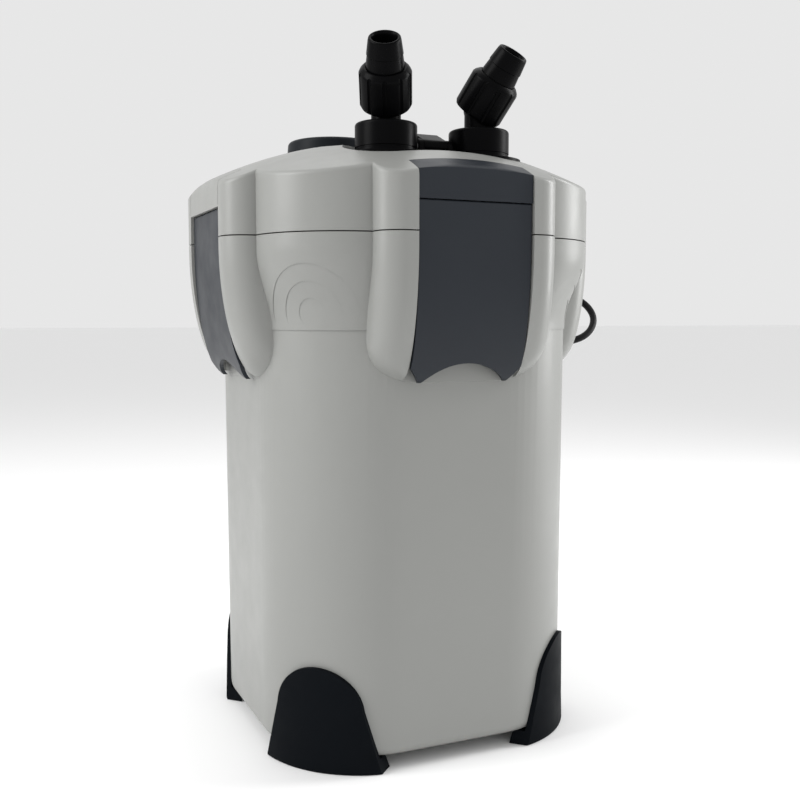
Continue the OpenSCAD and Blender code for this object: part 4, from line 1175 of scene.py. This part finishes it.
@dataclass
class MainsLead:
    """The mains lead: sleeve, one cord along the route and round the coil, and the plug."""

    gland: tuple[float, float, float] = (0.12016, 0.0750, 0.3670)
    turn: float = 14.0
    dip: float = 40.0
    sleeve: float = 26 * MM
    diameter: float = 6 * MM
    coil: tuple[float, float] = (0.060, 0.165)
    coil_radius: float = 33 * MM
    layers: int = 3
    route: tuple[tuple[float, float, float], ...] = ()
    tail: tuple[tuple[float, float, float], ...] = ()

    def build(self) -> None:
        sleeve = self._sleeve()
        plug = self._plug()
        points = [Vector(p) * MM for p in self.route] + self._turns() + [Vector(p) * MM for p in self.tail]
        data = bpy.data.curves.new("mains_cord", "CURVE")
        data.dimensions = "3D"
        data.bevel_depth = self.diameter / 2
        data.bevel_resolution = 4
        data.resolution_u = 3
        held = [points[0] * 2 - points[1], *points, points[-1] * 2 - points[-2]]
        spline = data.splines.new("NURBS")
        spline.points.add(len(held) - 1)
        for knot, place in zip(spline.points, held, strict=True):
            knot.co = (*place, 1.0)
        spline.order_u = 4
        cord = bpy.data.objects.new("mains_cord", data)
        bpy.context.scene.collection.objects.link(cord)
        data.materials.append(CABLE.material())
        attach(cord, "housing")
        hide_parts("cord_tube", "cord_coil", "cord_tail")

    def _turns(self) -> list[Vector]:
        """Points round the coil: out and in by turns, layer on layer."""
        per_turn = 20
        columns = (3 * MM, -3 * MM)
        lanes = []
        for layer in range(self.layers):
            order = columns if layer % 2 == 0 else tuple(reversed(columns))
            lanes += [(self.coil_radius + shift, (layer + 0.5) * self.diameter) for shift in order]
        points = []
        total = len(lanes) * per_turn
        for step in range(1, total):
            turn, share = divmod(step / per_turn, 1)
            radius, height = lanes[int(turn)]
            following = lanes[min(int(turn) + 1, len(lanes) - 1)]
            blend = max(0.0, (share - 0.75) / 0.25)
            blend = blend * blend * (3 - 2 * blend)
            radius += (following[0] - radius) * blend
            height += (following[1] - height) * blend
            angle = math.tau * step / per_turn
            if step < total - per_turn * 0.75:
                points.append(self._on_coil(radius, height, angle))
        return points

    def _on_coil(self, radius: float, height: float, angle: float) -> Vector:
        """A point of the coil's line."""
        return Vector((self.coil[0] + radius * math.cos(angle),
                       self.coil[1] + radius * math.sin(angle), height))

    def _sleeve(self) -> bpy.types.Object:
        """The tapered strain relief with ribs."""
        foot = [(0, -9 * MM), (5 * MM, -9 * MM), (5 * MM, 4.6 * MM), (7.4 * MM, 5.4 * MM),
                (7.4 * MM, 8 * MM)]
        ribs: list[Point] = []
        for number in range(5):
            low = (9.5 + 3.2 * number) * MM
            radius = (6.4 - 0.45 * number) * MM
            ribs += [(radius - 0.8 * MM, low - 0.4 * MM), (radius, low), (radius, low + 1.6 * MM),
                     (radius - 0.8 * MM, low + 2.0 * MM)]
        end = [(4.2 * MM, self.sleeve), (0, self.sleeve)]
        at = Matrix.Translation(self.gland) @ Matrix.Rotation(math.radians(self.turn), 4, "Z")
        at @= Matrix.Rotation(math.radians(90 + self.dip), 4, "Y")
        obj = as_object(spun([*foot, *ribs, *end], at, 48), "strain_relief_sleeve")
        return piece(obj, CABLE, "housing", "strain_relief")

    def _plug(self) -> bpy.types.Object:
        """The flat two-pole plug, its body waisted for the fingers."""
        low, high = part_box("cord_plug")
        middle = (low + high) / 2
        turn = Matrix.Translation((self.tail[-1][0] * MM - 15 * MM, self.tail[-1][1] * MM - 2.1 * MM,
                                   middle.z)) @ Matrix.Rotation(math.radians(8), 4, "Z")
        rings = []
        for x, half_w, half_h in ((-30, 8.6, 6.6), (-29, 9, 7), (-20, 9, 7), (-12, 8, 6.4),
                                  (-4, 8.2, 6.4), (1, 6.4, 5.6), (3, 5.2, 5.0), (16, 4.2, 4.2)):
            ring = rounded_square(1.0, 0.75, 6)
            rings.append([turn @ Vector((x * MM, y * half_w * MM, z * half_h * MM)) for y, z in ring])
        obj = as_object(loft(rings), "mains_plug")
        return piece(obj, PLUG, "housing", "cord_plug")


# ------------------------------------------------------------------ insides and studio


def dress_insides(nodes: dict[str, bpy.types.Object]) -> None:
    """Give every carried-over CAD node its own finish.

    Args:
        nodes: The frame's nodes by name.
    """
    for name, finish in INNER_FINISHES.items():
        node = nodes[name]
        node.data.materials.clear()
        node.data.materials.append(finish.material())
        log.info("%s: dressed as %s", name, finish.name)


@dataclass
class Studio:
    """Pale floor, soft light from both sides, and the camera."""

    eye: tuple[float, float, float] = (-0.3053, -0.7066, 0.2991)
    aim: tuple[float, float, float] = (0.0073, -0.0033, 0.2365)
    lens: float = 45.47

    def build(self) -> None:
        """Set up the camera, the floor, the lamps and the surroundings."""
        self._camera()
        self._floor()
        self._lamp("left_softbox", (-1.4, 0.05, 1.05), (0.7, 1.2), 16.5)
        self._lamp("right_softbox", (1.35, -0.25, 0.75), (0.5, 1.2), 15.0)
        self._lamp("top_softbox", (0.1, 0.6, 1.7), (1.4, 1.4), 4.0)
        world = bpy.data.worlds.new("surroundings")
        world.use_nodes = True
        world.node_tree.nodes["Background"].inputs["Color"].default_value = (1, 1, 1, 1)
        world.node_tree.nodes["Background"].inputs["Strength"].default_value = 0.80
        bpy.context.scene.world = world
        bpy.context.scene.view_settings.view_transform = "Standard"

    def _camera(self) -> None:
        """The camera, aimed by its direction."""
        data = bpy.data.cameras.new("camera")
        data.lens = self.lens
        data.sensor_width = 36
        camera = bpy.data.objects.new("camera", data)
        bpy.context.scene.collection.objects.link(camera)
        camera.location = self.eye
        direction = Vector(self.aim) - Vector(self.eye)
        camera.rotation_euler = direction.to_track_quat("-Z", "Y").to_euler()
        bpy.context.scene.camera = camera

    def _floor(self) -> None:
        """A wide pale floor just under the feet."""
        bm = bmesh.new()
        bmesh.ops.create_grid(bm, x_segments=1, y_segments=1, size=30)
        floor = as_object(bm, "floor")
        floor.location.z = -0.0003
        mat = bpy.data.materials.new("floor_white")
        mat.use_nodes = True
        shader = mat.node_tree.nodes["Principled BSDF"]
        shader.inputs["Base Color"].default_value = (0.93, 0.93, 0.93, 1)
        shader.inputs["Roughness"].default_value = 0.8
        floor.data.materials.append(mat)

    def _lamp(self, name: str, place: Sequence[float], size: Point, power: float) -> None:
        """A rectangular soft lamp aimed at the middle of the filter."""
        data = bpy.data.lights.new(name, "AREA")
        data.shape = "RECTANGLE"
        data.size, data.size_y = size
        data.energy = power
        lamp = bpy.data.objects.new(name, data)
        bpy.context.scene.collection.objects.link(lamp)
        lamp.location = place
        direction = Vector((0, 0, 0.25)) - Vector(place)
        lamp.rotation_euler = direction.to_track_quat("-Z", "Y").to_euler()


ROUTE = (
    (139.5, 79.8, 350.3), (149, 82.5, 342), (160, 85.5, 334.5), (172, 88.5, 328.5),
    (184, 90.5, 323.5), (196, 90, 320.5), (210, 87.5, 319.5), (219, 82, 318),
    (225.5, 75, 313.5), (228.5, 67.5, 306.5), (228, 60.5, 299), (223, 55.5, 291),
    (215.5, 52.5, 284.5), (206, 52.5, 280), (196, 55.5, 278), (188, 60, 277),
    (177.5, 64.5, 272.5), (169.5, 68.5, 264), (164, 71, 252.5), (161, 72.5, 239),
    (159, 73.5, 222), (157.5, 73.5, 195), (156, 73.5, 160), (154.5, 73.5, 120),
    (153, 74, 80), (151.5, 75, 57), (149, 77.5, 38), (145.5, 83, 22), (140, 91.5, 10.5),
    (133, 102, 4.5), (125, 115, 3), (116, 128, 3), (107, 140.5, 3), (100, 152.5, 3), (96, 165, 3),
)
TAIL = ((60, 195, 15), (47, 194.5, 14.5), (34, 190.5, 12.5), (22, 184, 9.5), (11, 177.5, 7.5), (0, 174, 7))


def main() -> None:
    """Build the filter in order."""
    logging.basicConfig(level=logging.INFO, format="%(message)s")
    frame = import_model()
    Studio().build()
    MainsLead(route=ROUTE, tail=TAIL).build()

    bucket_low, bucket_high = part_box("bucket")
    head_low, head_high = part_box("head_shell")
    plate_low, plate_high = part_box("tap_plate")
    collar_low, collar_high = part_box("inlet_collar")
    button_low, button_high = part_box("priming_button")
    button_middle = (button_low + button_high) / 2
    tap_x = -(collar_low.x + collar_high.x) / 2
    tap_y = (collar_low.y + collar_high.y) / 2
    button_radius = (button_high.x - button_low.x) / 2

    plan = Plan(lobe_out=bucket_high.x, rim_z=bucket_high.z, foot_z=bucket_low.z)
    Bucket(plan).build()
    Head(plan, head_low.z, head_high.z, tap_y, tap_x, (button_middle.x, button_middle.y),
         button_radius).build()
    for quarter, name in enumerate(("latch_front", "latch_right", "latch_back", "latch_left")):
        Latch(plan, name, quarter).build()
    corners = ("foot_back_right", "foot_back_left", "foot_front_left", "foot_front_right")
    for quarter, name in enumerate(corners):
        Foot(plan, name, quarter).build()
    Taps(tap_x, tap_y, plate_low.z).build()
    for side in Side:
        HoseConnector(side, tap_x, tap_y, collar_low.z, collar_high.z + 14.5 * MM).build()
    PrimingButton((button_middle.x, button_middle.y), button_radius, button_low.z,
                  button_high.z).build()
    spring_low, spring_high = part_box("primer_spring")
    PrimerSpring((button_middle.x, button_middle.y), spring_low.z, spring_high.z).build()
    dress_insides(frame["nodes"])


if __name__ == "__main__":
    main()
